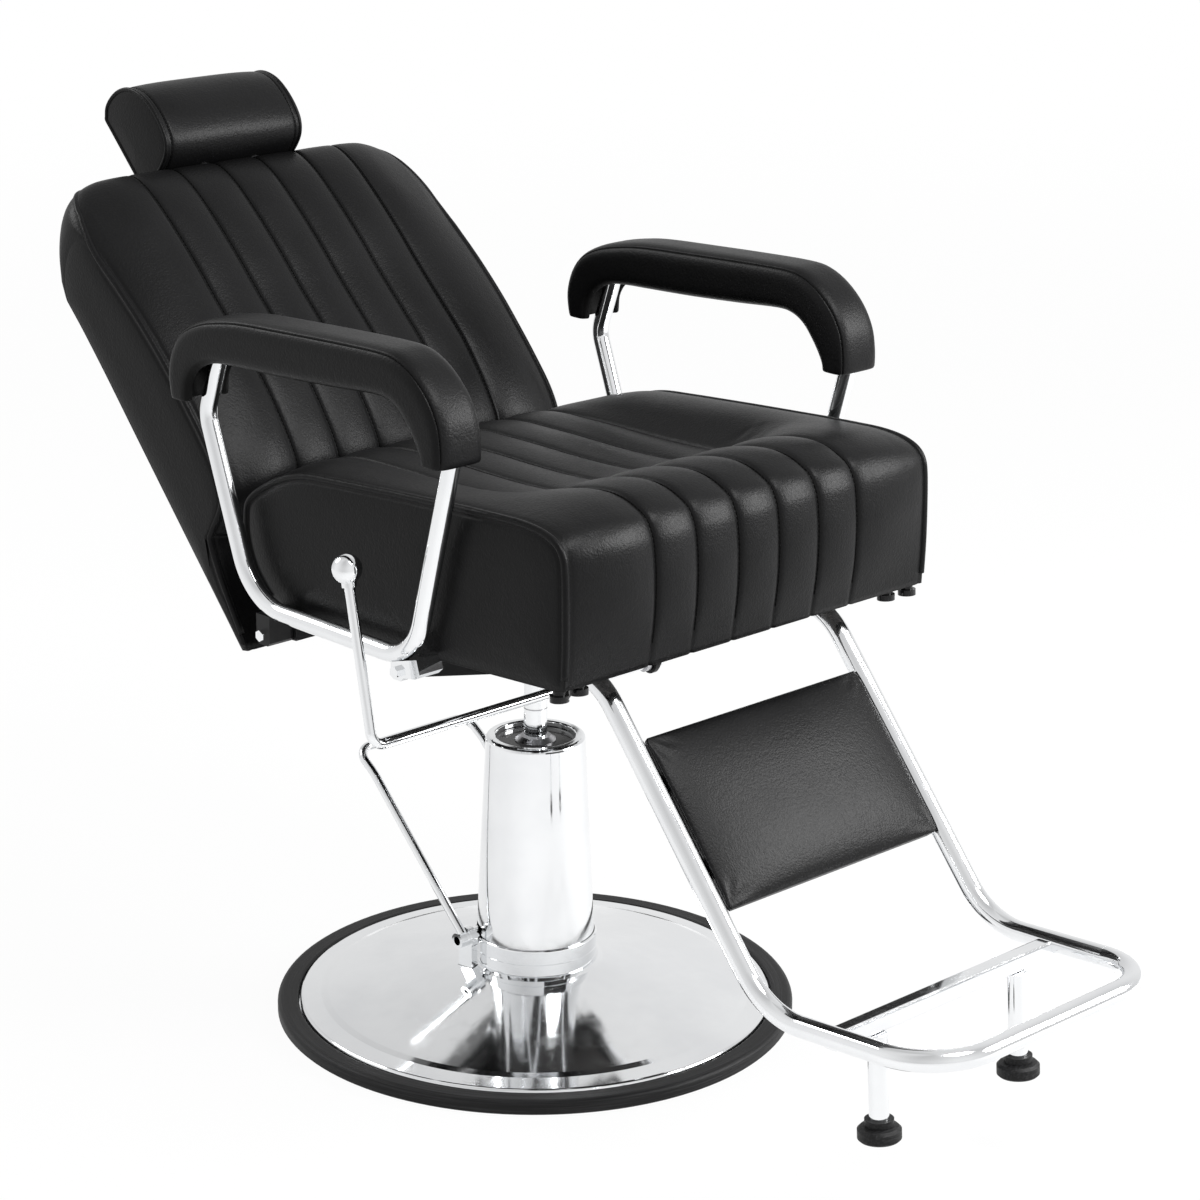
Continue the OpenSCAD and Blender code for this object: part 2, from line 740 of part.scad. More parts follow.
module seat_glides() {
    color(black) on_board() both_sides()
        for (at = [[seat_w / 2 - 8, -seat_front + 16], [seat_w / 2 - 40, -seat_front + 20]])
        translate([at[0], at[1], -13]) {
            cylinder(h = 7, d = 21);
            cylinder(h = 13, d = 14);
        }
}

// ---- arms ----

arm_foot_z = 546;
arm_path = [
    [0, -203, arm_z - 80], [0, -207.6, arm_z - 105], [0, -140.5, arm_foot_z], [0, 141, arm_foot_z],
    [0, 217, arm_z - 138], [0, 190, arm_z - 61]
];
arm_bends = [0, 40, 63, 80, 40, 0];

module arm_frame(side) {
    color(chrome) translate([side * arm_x, 0, 0])
        bent_tube(arm_path, arm_bends, arm_tube_d / 2, arm_tube_d / 2 - tube_wall, $fn = 24);
}
module arm_frame_left() { arm_frame(-1); }
module arm_frame_right() { arm_frame(1); }

// Outer and inner line of the armrest, as y and drop below the armrest top, from the rear tip to the
// front tip
pad_outer = [
    [240, 119], [245, 116], [249, 89], [241, 61], [222, 39], [190, 24], [150, 15], [110, 10], [36, 6],
    [-50, 2],
    [-119, 0], [-150, 3], [-178, 16], [-202, 37], [-217, 62], [-222, 87], [-222, 110], [-218, 113]
];
pad_inner = [
    [216, 119], [211, 117], [208, 98], [198, 83], [182, 73], [165, 68], [140, 66], [110, 65], [36, 62],
    [-45, 57],
    [-112, 52], [-138, 55], [-156, 65], [-170, 81], [-180, 95], [-186, 105], [-188, 111], [-192, 113]
];

function pad_ring(k, half) = let (
    tip = k == 0 || k == len(pad_outer) - 1,
    o = pad_outer[k],
    n = pad_inner[k],
    crown = tip ? 0 : 3
) [
    for (j = [0 : 15])
        let (
            a = 11.25 + 22.5 * j,
            w = sign(cos(a)) * pow(abs(cos(a)), 0.45) * (tip ? half - 5 : half),
            t = 0.5 + 0.5 * sign(sin(a)) * pow(abs(sin(a)), 0.45),
            q = n + (o - n) * t + unit(o - n) * (sin(a) > 0 ? crown * sin(a) * sin(a) : 0)
        ) [w, q[0], arm_z - q[1]]
];

module arm_pad(side) {
    rings = [for (k = [0 : len(pad_outer) - 1]) pad_ring(k, pad_w / 2)];
    color(black) translate([side * (arm_x + 1.5), 0, 0]) difference() {
        loft(backwards(rings), [for (p = rings[0]) p[0]], 8);
        translate([-side * 1.5, 0, 0])
            bent_tube(arm_path, arm_bends, arm_tube_d / 2 + 0.8, step = 0.2, $fn = 24);
    }
}
module arm_pad_left() { arm_pad(-1); }
module arm_pad_right() { arm_pad(1); }

module arm_clearance() {
    translate([arm_x, 0, 0]) bent_tube(arm_path, arm_bends, arm_tube_d / 2 + 0.1, $fn = 24);
}

module arm_bracket(outline, bolt) {
    both_sides() difference() {
        side_plate(cross_half + 0.2, arm_x + arm_tube_d / 2 - 3 - cross_half, outline);
        arm_clearance();
        on_board() translate([cross_half - 1, -seat_front, -soft_gap])
            cube([seat_w / 2 + soft_gap - cross_half + 1, seat_l, seat_t]);
        rod_x(cross_half - 1, bolt[0], bolt[1], 4.2, 60);
    }
}

module arm_front_brackets() {
    color(chrome) arm_bracket([
        [-153, arm_foot_z + 6], [-158, arm_foot_z - 10], [-150, arm_foot_z - 17], [-132, arm_foot_z - 20],
        [-126, arm_foot_z - 25], [-115, arm_foot_z - 25], [-110, arm_foot_z - 20], [-110, arm_foot_z - 6]
    ], front_bolt);
}

module arm_rear_brackets() {
    color(steel) arm_bracket([
        [rear_bolt[0] - 12, arm_foot_z - 6], rear_bolt + [-12, -8], rear_bolt + [-8, -12],
        rear_bolt + [8, -12], rear_bolt + [12, -8], [rear_bolt[0] + 12, arm_foot_z - 6]
    ], rear_bolt);
}

module arm_bolts() {
    color(chrome) both_sides() for (at = [front_bolt, rear_bolt])
        translate([arm_x + arm_tube_d / 2 - 2.8, at[0], at[1]]) rotate([0, -90, 0])
            hex_bolt(8, arm_x + arm_tube_d / 2 - cross_half + 6, 6);
}

// ---- footrest ----

function foot_plane_z(y) = 227.5 + (-594 - y) * tan(foot_rake);
rest_start = -cross_y - 3.5;
slope_top = [-296, seat_z + 296 * tan(seat_rake) - foot_tube_d / 2 - 0.2];
slope_foot_y = -558.5;
slope_foot = [slope_foot_y, foot_plane_z(slope_foot_y)];
slope_dir = unit(slope_foot - slope_top);
rest_path = [
    [-foot_x, rest_start, seat_z - rest_start * tan(seat_rake) - foot_tube_d / 2 - 0.2],
    [-foot_x, slope_top[0], slope_top[1]], [-foot_x, slope_foot[0], slope_foot[1]],
    [-foot_x, -foot_front, foot_plane_z(-foot_front)], [foot_x, -foot_front, foot_plane_z(-foot_front)],
    [foot_x, slope_foot[0], slope_foot[1]], [foot_x, slope_top[0], slope_top[1]],
    [foot_x, rest_start, seat_z - rest_start * tan(seat_rake) - foot_tube_d / 2 - 0.2]
];
rest_bends = [0, 80, 95, 75, 75, 95, 80, 0];

module footrest_frame() {
    color(chrome) {
        bent_tube(rest_path, rest_bends, foot_tube_d / 2, foot_tube_d / 2 - tube_wall, $fn = 24);
        on_board() both_sides() translate([foot_x - 20, -cross_y - 4.2, -foot_tube_d - 12]) difference() {
            cube([40, 4, foot_tube_d + 11]);
            for (x = [8, 32]) translate([x, 5, 6]) rotate([90, 0, 0]) cylinder(h = 6, d = 6);
        }
    }
}

module rest_clearance(extra) {
    bent_tube(rest_path, rest_bends, foot_tube_d / 2 + extra, $fn = 24);
}

crossbar_y = -647;

// Frame of the foot plane at the crossbar
module at_crossbar() {
    translate([0, crossbar_y, foot_plane_z(crossbar_y) - 6]) rotate([-foot_rake, 0, 0]) children();
}

module footrest_crossbar() {
    c = crossbar_size / 2;
    color(chrome) difference() {
        at_crossbar() rotate([90, 0, 90]) translate([0, 0, -foot_x + 2])
            linear_extrude(2 * foot_x - 4) polygon(concat(
            arc([c - 3, c - 3], 3, 0, 90, 3), arc([3 - c, c - 3], 3, 90, 180, 3),
            arc([3 - c, 3 - c], 3, 180, 270, 3), arc([c - 3, 3 - c], 3, 270, 360, 3)
        ));
        rest_clearance(0.05);
    }
}

module footrest_legs() {
    color(chrome) at_crossbar() both_sides() translate([leg_x, -7, -crossbar_size / 2 - leg_l])
        difference() {
            cylinder(h = leg_l, d = leg_d);
            translate([0, 0, -1]) cylinder(h = leg_l - 6, d = leg_d - 2 * tube_wall);
        }
}

module rubber_feet() {
    r = foot_pad_d / 2;
    color(black) at_crossbar() both_sides() translate([leg_x, -7, -crossbar_size / 2 - leg_l])
        rotate_extrude() polygon([
            [0, -24], [r - 2, -24], [r, -22], [r, -12], [r - 3, -9], [r - 8, -8], [r - 8, -0.1],
            [leg_d / 2 - 2.4, -0.1],
            [leg_d / 2 - 2.4, 12], [0, 12]
        ]);
}

calf_top = 86.5;

// Frame of the footrest slope: +X across, +Y down the slope, +Z out of its front
module on_slope() {
    frame_at([0, slope_top[0], slope_top[1]], [-1, 0, 0], [0, slope_dir[0], slope_dir[1]]) children();
}

calf_half = foot_x - foot_tube_d / 2 - 1.5;

module calf_board() {
    color(black) on_slope() translate([-calf_half + 4, calf_top + 4, -12])
        cube([2 * calf_half - 8, calf_l - 8, 8]);
}

// Calf pad outline across its width: flat rear, drawn-in sides and a crowned face
function calf_ring(share) = let (
    lift = pow(max(0, 1 - pow(abs(2 * share - 1), 2.6)), 0.6),
    edge = share == 0 || share == 1 ? 3 : 0
) [
    for (j = [0 : 12])
        let (w = -1 + j / 6, bulge = pow(max(0, 1 - pow(abs(w), 2.6)), 0.6))
            [
                w * (calf_half - edge), calf_top + share * calf_l,
                -4 + calf_t - 2 + 2 * lift + 15 * lift * bulge
            ],
    for (j = [12 : -3 : 0]) [(-1 + j / 6) * (calf_half - edge - 1.5), calf_top + share * calf_l, -3.9]
];

module calf_pad() {
    rings = [for (share = [0, 0.02, 0.08, 0.2, 0.35, 0.5, 0.65, 0.8, 0.92, 0.98, 1]) calf_ring(share)];
    color(black) on_slope() loft(backwards(rings), [for (p = rings[0]) p[0]], 12);
}

module calf_straps() {
    color(steel) on_slope() for (s = [0.25, 0.75]) translate([4 - foot_x, calf_top + s * calf_l - 12, -16])
        cube([2 * foot_x - 8, 24, 3.9]);
}

// ---- recline pins, lever and strut ----

module recline_pins() {
    color(chrome) both_sides() {
        rod_x(rail_x - frame_t / 2, pivot_y, pivot_z, pin_d / 2, frame_t + 9);
        rod_x(rail_x - frame_t / 2 - 6, pivot_y, pivot_z, pin_d / 2 + 4, 6);
        rod_x(rail_x + frame_t / 2 + 8, pivot_y, pivot_z, pin_d / 2 + 3, 5);
    }
}

lever_pin = [-lever_y, lever_z];
bushing_r = lever_d / 2 + 3;
ear_x = 68;

module lever_brackets() {
    y = board_y(lever_pin[0], lever_pin[1]);
    h = board_h(lever_pin[0], lever_pin[1]);
    color(steel) on_board() both_sides() difference() {
        union() {
            side_plate(ear_x, 6, [
                [y - 5, cross_lower - 0.1], [y - 5, h], [y + 10, h], [y + 18, cross_lower - 0.1]
            ]);
            rod_x(ear_x, y, h, bushing_r + 4, 6);
        }
        rod_x(ear_x - 1, y, h, bushing_r + 0.02, 8);
    }
}

module lever_bushings() {
    color(black) both_sides() difference() {
        union() {
            rod_x(ear_x - 1, lever_pin[0], lever_pin[1], bushing_r, 8);
            rod_x(ear_x + 6.2, lever_pin[0], lever_pin[1], bushing_r + 2.5, 2.5);
        }
        rod_x(ear_x - 2, lever_pin[0], lever_pin[1], lever_d / 2 + run_gap, 14);
    }
}

lever_top = [-lever_x, -knob_y, knob_z];
lever_bend = [-lever_x, -lever_y, lever_z];
lever_dir = unit(lever_top - lever_bend);

module recline_lever() {
    color(chrome) {
        bent_tube([lever_top - lever_dir * 6, lever_bend, [82, -lever_y, lever_z]], [0, 16, 0],
            lever_d / 2, $fn = 24);
        rod_x(82, -lever_y, lever_z, lever_d / 2 + 2, 3);
    }
}

module lever_knob() {
    color(chrome) difference() {
        union() {
            translate(lever_top) sphere(d = knob_d);
            translate(lever_top - lever_dir * (knob_d / 2 + 3))
                frame_at([0, 0, 0], cross(across(lever_dir), lever_dir), across(lever_dir))
                    cylinder(h = 8, d = lever_d + 5);
        }
        translate(lever_top - lever_dir * (knob_d / 2 + 10))
            frame_at([0, 0, 0], cross(across(lever_dir), lever_dir), across(lever_dir))
                cylinder(h = knob_d / 2 + 4.5, r = lever_d / 2 + run_gap);
    }
}

finger_tip = strut_front - strut_dir * (valve_reach + 4.3);

module valve_finger() {
    color(steel) difference() {
        union() {
            rod_x(strut_x - 4, lever_pin[0], lever_pin[1], lever_d / 2 + 3, 8);
            side_plate(strut_x - 4, 8, [
                lever_pin + [-4, 5], lever_pin + [7, -2], finger_tip + [3, -2], finger_tip + [-3, 2]
            ]);
            rod_x(strut_x - 4, finger_tip[0], finger_tip[1], 4, 8);
        }
        rod_x(strut_x - 6, lever_pin[0], lever_pin[1], lever_d / 2 + run_gap, 12);
    }
}

// Frame of the strut: +X along it from its front pin, +Y across the chair, +Z up
module on_strut() {
    translate([strut_x, strut_front[0], strut_front[1]]) rotate([strut_pitch, 0, 0])
        rotate([0, 0, 90]) children();
}

module along_strut(from, r, l) {
    on_strut() rod_x(from, 0, 0, r, l);
}

valve_r = 3;

module strut_bracket() {
    w = strut_d / 2 + 1;
    color(steel) {
        for (x = [strut_x - w - 4, strut_x + w]) difference() {
            side_plate(x, 4, concat(
                [[strut_front[0] + 12, mount_z], [strut_front[0] - 10, mount_z]],
                arc(strut_front, 9, 190, 350, 8)
            ));
            rod_x(x - 1, strut_front[0], strut_front[1], 4 + 0.1, 6);
        }
        rod_x(strut_x - w - 6, strut_front[0], strut_front[1], 4, 2 * w + 12);
    }
}

module strut_barrel() {
    color(steel) difference() {
        union() {
            along_strut(8, strut_d / 2, 150);
            along_strut(-18, 7, 27);
        }
        rod_x(strut_x - 20, strut_front[0], strut_front[1], 4 + 0.1, 40);
        along_strut(-19, valve_r + run_gap, 11);
        along_strut(20, 5 + run_gap, 150);
    }
}

module valve_pin() {
    color(chrome) along_strut(-valve_reach, valve_r, 9);
}

module strut_rod() {
    fork = 7;
    color(chrome) {
        along_strut(70, 5, strut_l - 70 - 22);
        along_strut(strut_l - 34, 8, 9);
        difference() {
            on_strut() translate([strut_l - 26, -9, -fork]) cube([26 + fork, 18, 2 * fork]);
            on_strut() translate([strut_l - 19, -4, -20]) cube([40, 8, 40]);
        }
        rod_x(strut_x - 11, strut_rear[0], strut_rear[1], 3, 22);
    }
}

// ---- back ----

// Rear line of the back, as a share of its length and height over its middle plane
rear_line = [
    [0.87, -40.6], [0.806, -40.2], [0.732, -40], [0.63, -41.5], [0.5, -45], [0.335, -49], [0.165, -53],
    [0.078, -55]
];
// Front lines of the back, the piped edge and the sewn middle, from the skirt's foot over the top edge
back_edge = [
    [0, -48], [0.135, -30], [0.213, -15], [0.228, -3], [0.236, 15], [0.248, 36], [0.271, 51], [0.322, 61],
    [0.387, 65], [0.464, 67], [0.551, 67.5], [0.648, 64], [0.745, 57], [0.845, 51], [0.925, 46], [0.98, 37],
    [1, 22], [0.99, 2], [0.958, -18], [0.912, -34]
];
back_middle = [
    [0, -47], [0.135, -28], [0.213, -11], [0.23, 5], [0.238, 27], [0.252, 48], [0.277, 63], [0.322, 72],
    [0.387, 78.5], [0.464, 82.5], [0.551, 80.5], [0.648, 77.5], [0.745, 76.5], [0.845, 72.5], [0.925, 65.5],
    [0.98, 52], [1, 32], [0.99, 7], [0.958, -17], [0.912, -34.5]
];
back_foot = -47;
back_recess = shell_t;

// Height of a share of the back's length, with the top corners rounded
function back_top(x) = let (
    into = max(0, abs(x) - (back_w / 2 - back_corner))
) back_foot + back_l - back_corner + sqrt(max(0, back_corner * back_corner - into * into));
function back_u(share, x) = let (u = back_foot + share * back_l, knee = back_foot + 0.74 * back_l)
    u < knee ? u : knee + (u - knee) * (back_top(x) - knee) / (back_foot + back_l - knee);

function back_ring(s) = let (
    mix = [for (i = [0 : len(back_edge) - 1]) back_edge[i] * (1 - s[1]) + back_middle[i] * s[1]],
    line = concat(
        [for (p = mix) [back_u(p[0], s[0]), p[1]]],
        [[back_u(0.871, s[0]), -40.5]],
        [for (p = rear_line) [back_u(p[0], s[0]), p[1] + s[4]]],
        [[back_u(0.077, s[0]), -55], [back_u(0.01, s[0]), -57]]
    ),
    crowned = [
        for (i = [0 : len(line) - 1])
            line[i] + normal_at(line, i) * (s[2] + s[3]) * crown_share(i, 1, 16)
    ]
) [for (q = drawn_in(crowned, s[5])) [s[0], -q[1], q[0]]];

guide_r = post_d / 2 + 4;
guide_top = back_foot + back_l - 3;

module backrest_cushion() {
    rings = [for (s = all_stations(back_w / 2, back_crown, back_recess, 2.5)) back_ring(s)];
    color(black) on_back() difference() {
        loft(rings, [for (p = rings[0]) p[2]], 16);
        for (side = [-1, 1]) translate([side * post_gap / 2, -post_v, guide_top]) {
            translate([0, 0, -0.3 * back_l]) cylinder(h = back_l, r = guide_r + soft_gap, $fn = 24);
            translate([0, 0, -soft_gap]) cylinder(h = back_corner, r = guide_r + 4 + soft_gap, $fn = 24);
        }
    }
}

shell_half = panel_x + board_share * (back_w / 2 - panel_x) - soft_gap;

module backrest_shell() {
    outer = [for (p = rear_line) [-p[1], back_foot + p[0] * back_l]];
    inner = [for (p = rear_line) [-p[1] - shell_t + 2 * soft_gap, back_foot + p[0] * back_l]];
    corner = 1.35 * back_corner;
    color(black) on_back() difference() {
        side_plate(-shell_half, 2 * shell_half, concat(outer, backwards(inner)));
        for (side = [-1, 1]) translate([side * shell_half, 0, back_foot + 0.87 * back_l]) rotate([0, 45, 0])
            cube([corner, 4 * corner, corner], center = true);
    }
}

// Front line of the skirt in the frame of the back, between two heights
function skirt_v(u) = -47 + (u - back_foot) * 0.2288;
function back_point(depth, u) = [
    pivot_y + depth * cos(back_lean) + u * sin(back_lean),
    pivot_z - depth * sin(back_lean) + u * cos(back_lean)
];
yoke_low = -38;
yoke_high = 34;

module backrest_yoke() {
    ear_x = rail_x + frame_t / 2 + 0.3;
    lug = strut_rear + [0, -2.7];
    color(steel) difference() {
        union() {
            on_back() side_plate(-ear_x - 7.5, 2 * ear_x + 15, [
                [-skirt_v(yoke_low) - 0.4, yoke_low], [-skirt_v(yoke_high) - 0.4, yoke_high],
                [-skirt_v(yoke_high) - 4.4, yoke_high], [-skirt_v(yoke_low) - 4.4, yoke_low]
            ]);
            both_sides() {
                on_back() side_plate(ear_x, 7.5, [
                    [-skirt_v(yoke_low) - 2, yoke_low + 8], [-skirt_v(yoke_high) - 2, yoke_high - 4],
                    [0, 16], [-12, 8], [-12, -10]
                ]);
                rod_x(ear_x, pivot_y, pivot_z, pin_d / 2 + 10, 7.5);
            }
            side_plate(strut_x - 3, 6, [
                lug + [-9, 0], lug + [9, 0], lug + [6, 11],
                back_point(-skirt_v(back_foot) - 0.6, back_foot - 4),
                back_point(-skirt_v(-37) - 0.6, -37), back_point(-skirt_v(0) - 0.6, 0), back_point(22, 0),
                [pivot_y - 14, pivot_z - 46]
            ]);
            rod_x(strut_x - 3, lug[0], lug[1], 11.5, 6);
        }
        for (side = [-1, 1]) rod_x(side * (ear_x + 3.75) - 5, pivot_y, pivot_z, pin_d / 2 + run_gap, 10);
        rod_x(strut_x - 5, lug[0], lug[1], 7.4, 10);
    }
}

module headrest_guides() {
    color(black) on_back() both_sides() translate([post_gap / 2, -post_v, guide_top - 115]) difference() {
        union() {
            cylinder(h = 115, r = guide_r);
            translate([0, 0, 115]) cylinder(h = 4, r = guide_r + 4);
        }
        translate([0, 0, -1]) cylinder(h = 130, r = post_d / 2 + run_gap);
    }
}

// ---- headrest ----

headrest_foot = back_foot + back_l + headrest_lift;
post_down = 172;
head_back_v = -8.5;

// Side outline of the headrest: share of its length and share of its depth, a flat back and a full
// round front
head_outline = [
    [0.18, 0], [0.05, 0.17], [0, 0.38], [0.01, 0.62], [0.06, 0.82], [0.17, 0.95], [0.34, 1], [0.54, 0.99],
    [0.72, 0.92], [0.88, 0.76], [0.97, 0.55], [1, 0.34], [0.98, 0.14], [0.9, 0]
];

function head_ring(x, draw, crown) = let (
    line = [for (p = head_outline) [headrest_foot + p[0] * headrest_l, head_back_v + p[1] * headrest_t]],
    last = len(line) - 1,
    crowned = [for (i = [0 : last]) line[i] + normal_at(line, i) * crown * crown_share(i, 0, last)]
) [for (q = drawn_in(crowned, draw)) [x, -q[1], q[0]]];

module headrest_pad() {
    half = headrest_w / 2;
    rings = [
        for (s = [[-0.975, 4, 0], [-1, 0, 0], [-0.94, 0, 1.6], [-0.75, 0, 3], [-0.4, 0, 3.6], [0, 0, 3.8]])
            head_ring(s[0] * half, s[1], s[2]),
        for (s = [[0.4, 0, 3.6], [0.75, 0, 3], [0.94, 0, 1.6], [1, 0, 0], [0.975, 4, 0]])
            head_ring(s[0] * half, s[1], s[2])
    ];
    color(black) on_back() difference() {
        loft(rings, [for (p = rings[0]) p[2]], 12);
        for (side = [-1, 1]) translate([side * post_gap / 2, -post_v, headrest_foot - 20])
            cylinder(h = 20 + headrest_l * 0.6, r = post_d / 2 + soft_gap, $fn = 24);
    }
}

module headrest_posts() {
    color(chrome) on_back() both_sides() translate([post_gap / 2, -post_v, headrest_foot - post_down])
        cylinder(h = post_down + headrest_l * 0.6 - 1, d = post_d);
}

base_plate();
rubber_rim();
base_dome();
base_collar();
pump_cover();
pump_cap();
pump_body();
pump_gland();
pump_bolts();
pedal_lugs();
pedal_bail();
pump_finger();
pump_plunger();
piston_rod();
piston_seal();
thrust_washer();
seat_spindle();
spindle_bolts();
mount_plate();
side_rails();
front_cross_member();
rear_cross_member();
seat_board();
seat_cushion();
seat_glides();
arm_frame_left();
arm_frame_right();
arm_pad_left();
arm_pad_right();
arm_front_brackets();
arm_rear_brackets();
arm_bolts();
footrest_frame();
footrest_crossbar();
footrest_legs();
rubber_feet();
calf_board();
calf_pad();
calf_straps();
recline_pins();
lever_brackets();
lever_bushings();
recline_lever();
lever_knob();
valve_finger();
strut_bracket();
strut_barrel();
strut_rod();
valve_pin();
backrest_cushion();
backrest_shell();
backrest_yoke();
headrest_guides();
headrest_pad();
headrest_posts();
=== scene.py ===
import json
import math
import bpy
import numpy as np
from mathutils import Matrix, Vector


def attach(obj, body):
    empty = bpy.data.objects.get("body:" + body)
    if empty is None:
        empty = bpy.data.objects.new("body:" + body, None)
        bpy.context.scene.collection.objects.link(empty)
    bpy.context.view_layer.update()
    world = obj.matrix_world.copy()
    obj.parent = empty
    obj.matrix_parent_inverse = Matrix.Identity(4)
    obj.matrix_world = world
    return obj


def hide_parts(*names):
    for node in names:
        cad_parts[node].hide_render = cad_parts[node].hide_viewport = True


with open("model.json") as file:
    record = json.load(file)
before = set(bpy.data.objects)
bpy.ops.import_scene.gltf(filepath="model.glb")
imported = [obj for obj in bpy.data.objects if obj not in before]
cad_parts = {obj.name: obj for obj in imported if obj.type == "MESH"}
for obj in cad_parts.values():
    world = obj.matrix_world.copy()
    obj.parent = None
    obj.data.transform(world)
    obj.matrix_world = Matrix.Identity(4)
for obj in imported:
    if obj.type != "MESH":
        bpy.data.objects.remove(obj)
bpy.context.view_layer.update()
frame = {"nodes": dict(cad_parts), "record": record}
nodes = frame["nodes"]
scene = bpy.context.scene

viewpoint = {
    "azimuth": -43.891, "elevation": 17.649, "roll": 0.375, "distance": 3.97939, "lens": 101.02,
    "sensor": 36.0, "aimSide": 0.07611, "aimHeight": 0.516946
}


def linked(name, data):
    # an object in the scene for a mesh, a lamp or a camera
    holder = bpy.data.objects.new(name, data)
    scene.collection.objects.link(holder)
    return holder


def placeCamera():
    azimuth, elevation, roll = (math.radians(viewpoint[k]) for k in ("azimuth", "elevation", "roll"))
    flat = math.cos(elevation)
    right = Vector((math.cos(azimuth), math.sin(azimuth), 0))
    back = Vector((math.sin(azimuth) * flat, -math.cos(azimuth) * flat, math.sin(elevation)))
    up = back.cross(right)
    side = right * math.cos(roll) + up * math.sin(roll)
    top = up * math.cos(roll) - right * math.sin(roll)
    aim = right * viewpoint["aimSide"] + Vector((0, 0, viewpoint["aimHeight"]))
    data = bpy.data.cameras.new("camera")
    data.lens = viewpoint["lens"]
    data.sensor_width = viewpoint["sensor"]
    camera = linked("camera", data)
    turned = Matrix((side, top, back)).transposed().to_4x4()
    camera.matrix_world = Matrix.Translation(aim + back * viewpoint["distance"]) @ turned
    scene.camera = camera


placeCamera()
print("camera placed")


class Value:
    # a socket that takes part in plain arithmetic; every sum or product adds its Math node
    def __init__(self, tree, socket):
        self.tree = tree
        self.socket = socket

    def maths(self, operation, *terms):
        return self.tree.add("ShaderNodeMath", {"operation": operation}, dict(enumerate(terms)))

    def __add__(self, other):
        return self.maths("ADD", self, other)

    def __sub__(self, other):
        return self.maths("SUBTRACT", self, other)

    def __rsub__(self, other):
        return self.maths("SUBTRACT", other, self)

    def __mul__(self, other):
        return self.maths("MULTIPLY", self, other)

    def __pow__(self, other):
        return self.maths("POWER", self, other)

    __radd__ = __add__
    __rmul__ = __mul__

    def wave(self):
        return self.maths("SINE", self)

    def orMore(self, other):
        return self.maths("MAXIMUM", self, other)

    def between(self, low, high):
        return self.tree.add("ShaderNodeMapRange", {"clamp": True, "interpolation_type": "SMOOTHSTEP"},
                             {"Value": self, "From Min": low, "From Max": high})

    def beside(self, name):
        # another output of the same node
        return Value(self.tree, self.socket.node.outputs[name])


class Finish:
    # one material, or the world, as a tree that grows a node at a time
    def __init__(self, owner):
        self.owner = owner
        owner.use_nodes = True
        self.nodeTree = owner.node_tree
        self.nodeTree.nodes.clear()

    def add(self, kind, settings=None, inputs=None, output=0):
        node = self.nodeTree.nodes.new(kind)
        for key, value in (settings or {}).items():
            setattr(node, key, value)
        for key, value in (inputs or {}).items():
            socket = node.inputs[key]
            if isinstance(value, Value):
                self.nodeTree.links.new(value.socket, socket)
            elif isinstance(value, tuple) and len(value) == 3 and socket.type == "RGBA":
                socket.default_value = (*value, 1)
            else:
                socket.default_value = value
        return Value(self, node.outputs[output])

    def mix(self, share, first, second):
        # sockets 6 and 7 take the two colours, and output 2 gives the mixed one
        return self.add("ShaderNodeMix", {"data_type": "RGBA"}, {0: share, 6: first, 7: second}, output=2)

    def blend(self, share, first, second):
        return self.add("ShaderNodeMixShader", inputs={0: share, 1: first, 2: second})

    def split(self, where):
        found = self.add("ShaderNodeSeparateXYZ", inputs={"Vector": where})
        return [found.beside(axis) for axis in "XYZ"]

    def noise(self, where, scale, detail=3.0, rough=0.5, distortion=0.0):
        return self.add("ShaderNodeTexNoise", inputs={"Vector": where, "Scale": scale, "Detail": detail,
                                                      "Roughness": rough, "Distortion": distortion})

    def bump(self, height, strength, distance, under=None):
        inputs = {"Height": height, "Strength": strength, "Distance": distance}
        if under is not None:
            inputs["Normal"] = under
        return self.add("ShaderNodeBump", inputs=inputs)

    def close(self, surface):
        isWorld = isinstance(self.owner, bpy.types.World)
        end = self.nodeTree.nodes.new("ShaderNodeOutputWorld" if isWorld else "ShaderNodeOutputMaterial")
        self.nodeTree.links.new(surface.socket, end.inputs["Surface"])
        return self.owner

    def surface(self, look, color, rough, normal):
        inputs = {"Base Color": color, "Metallic": look.get("metal", 0.0), "Normal": normal,
                  "Roughness": rough + look["rough"], "Specular IOR Level": look["shine"]}
        return self.close(self.add("ShaderNodeBsdfPrincipled", inputs=inputs))


def newFinish(name):
    # an empty material, and the place on the piece at which its patterns are read
    tree = Finish(bpy.data.materials.new(name))
    return tree, tree.add("ShaderNodeTexCoord", output="Object")


def fromAxis(x, y):
    return (x * x + y * y) ** 0.5


def roundAxis(x, y):
    return x.maths("ARCTAN2", y, x)


# floor, sky and lamps

studio = {
    "floorSize": 60.0, "floorColor": (0.9, 0.9, 0.9), "whiteShare": 0.95, "fadeFrom": 2.0, "fadeTo": 7.0,
    "skyLight": 0.36, "mirrorLevel": 0.73, "mirrorBand": 0.15, "bands": 3.0, "bandTurn": 0.4,
    "mirrorTop": 0.2, "topFrom": 0.25, "topTo": 0.95, "lampAim": 0.6
}
lamps = {
    "key": {"place": (0.3, -1.9, 3.4), "size": 1.6, "power": 85.0},
    "side": {"place": (2.3, -2.6, 2.0), "size": 1.9, "power": 155.0},
    "rim": {"place": (-1.2, 2.6, 2.6), "size": 1.6, "power": 42.0}
}


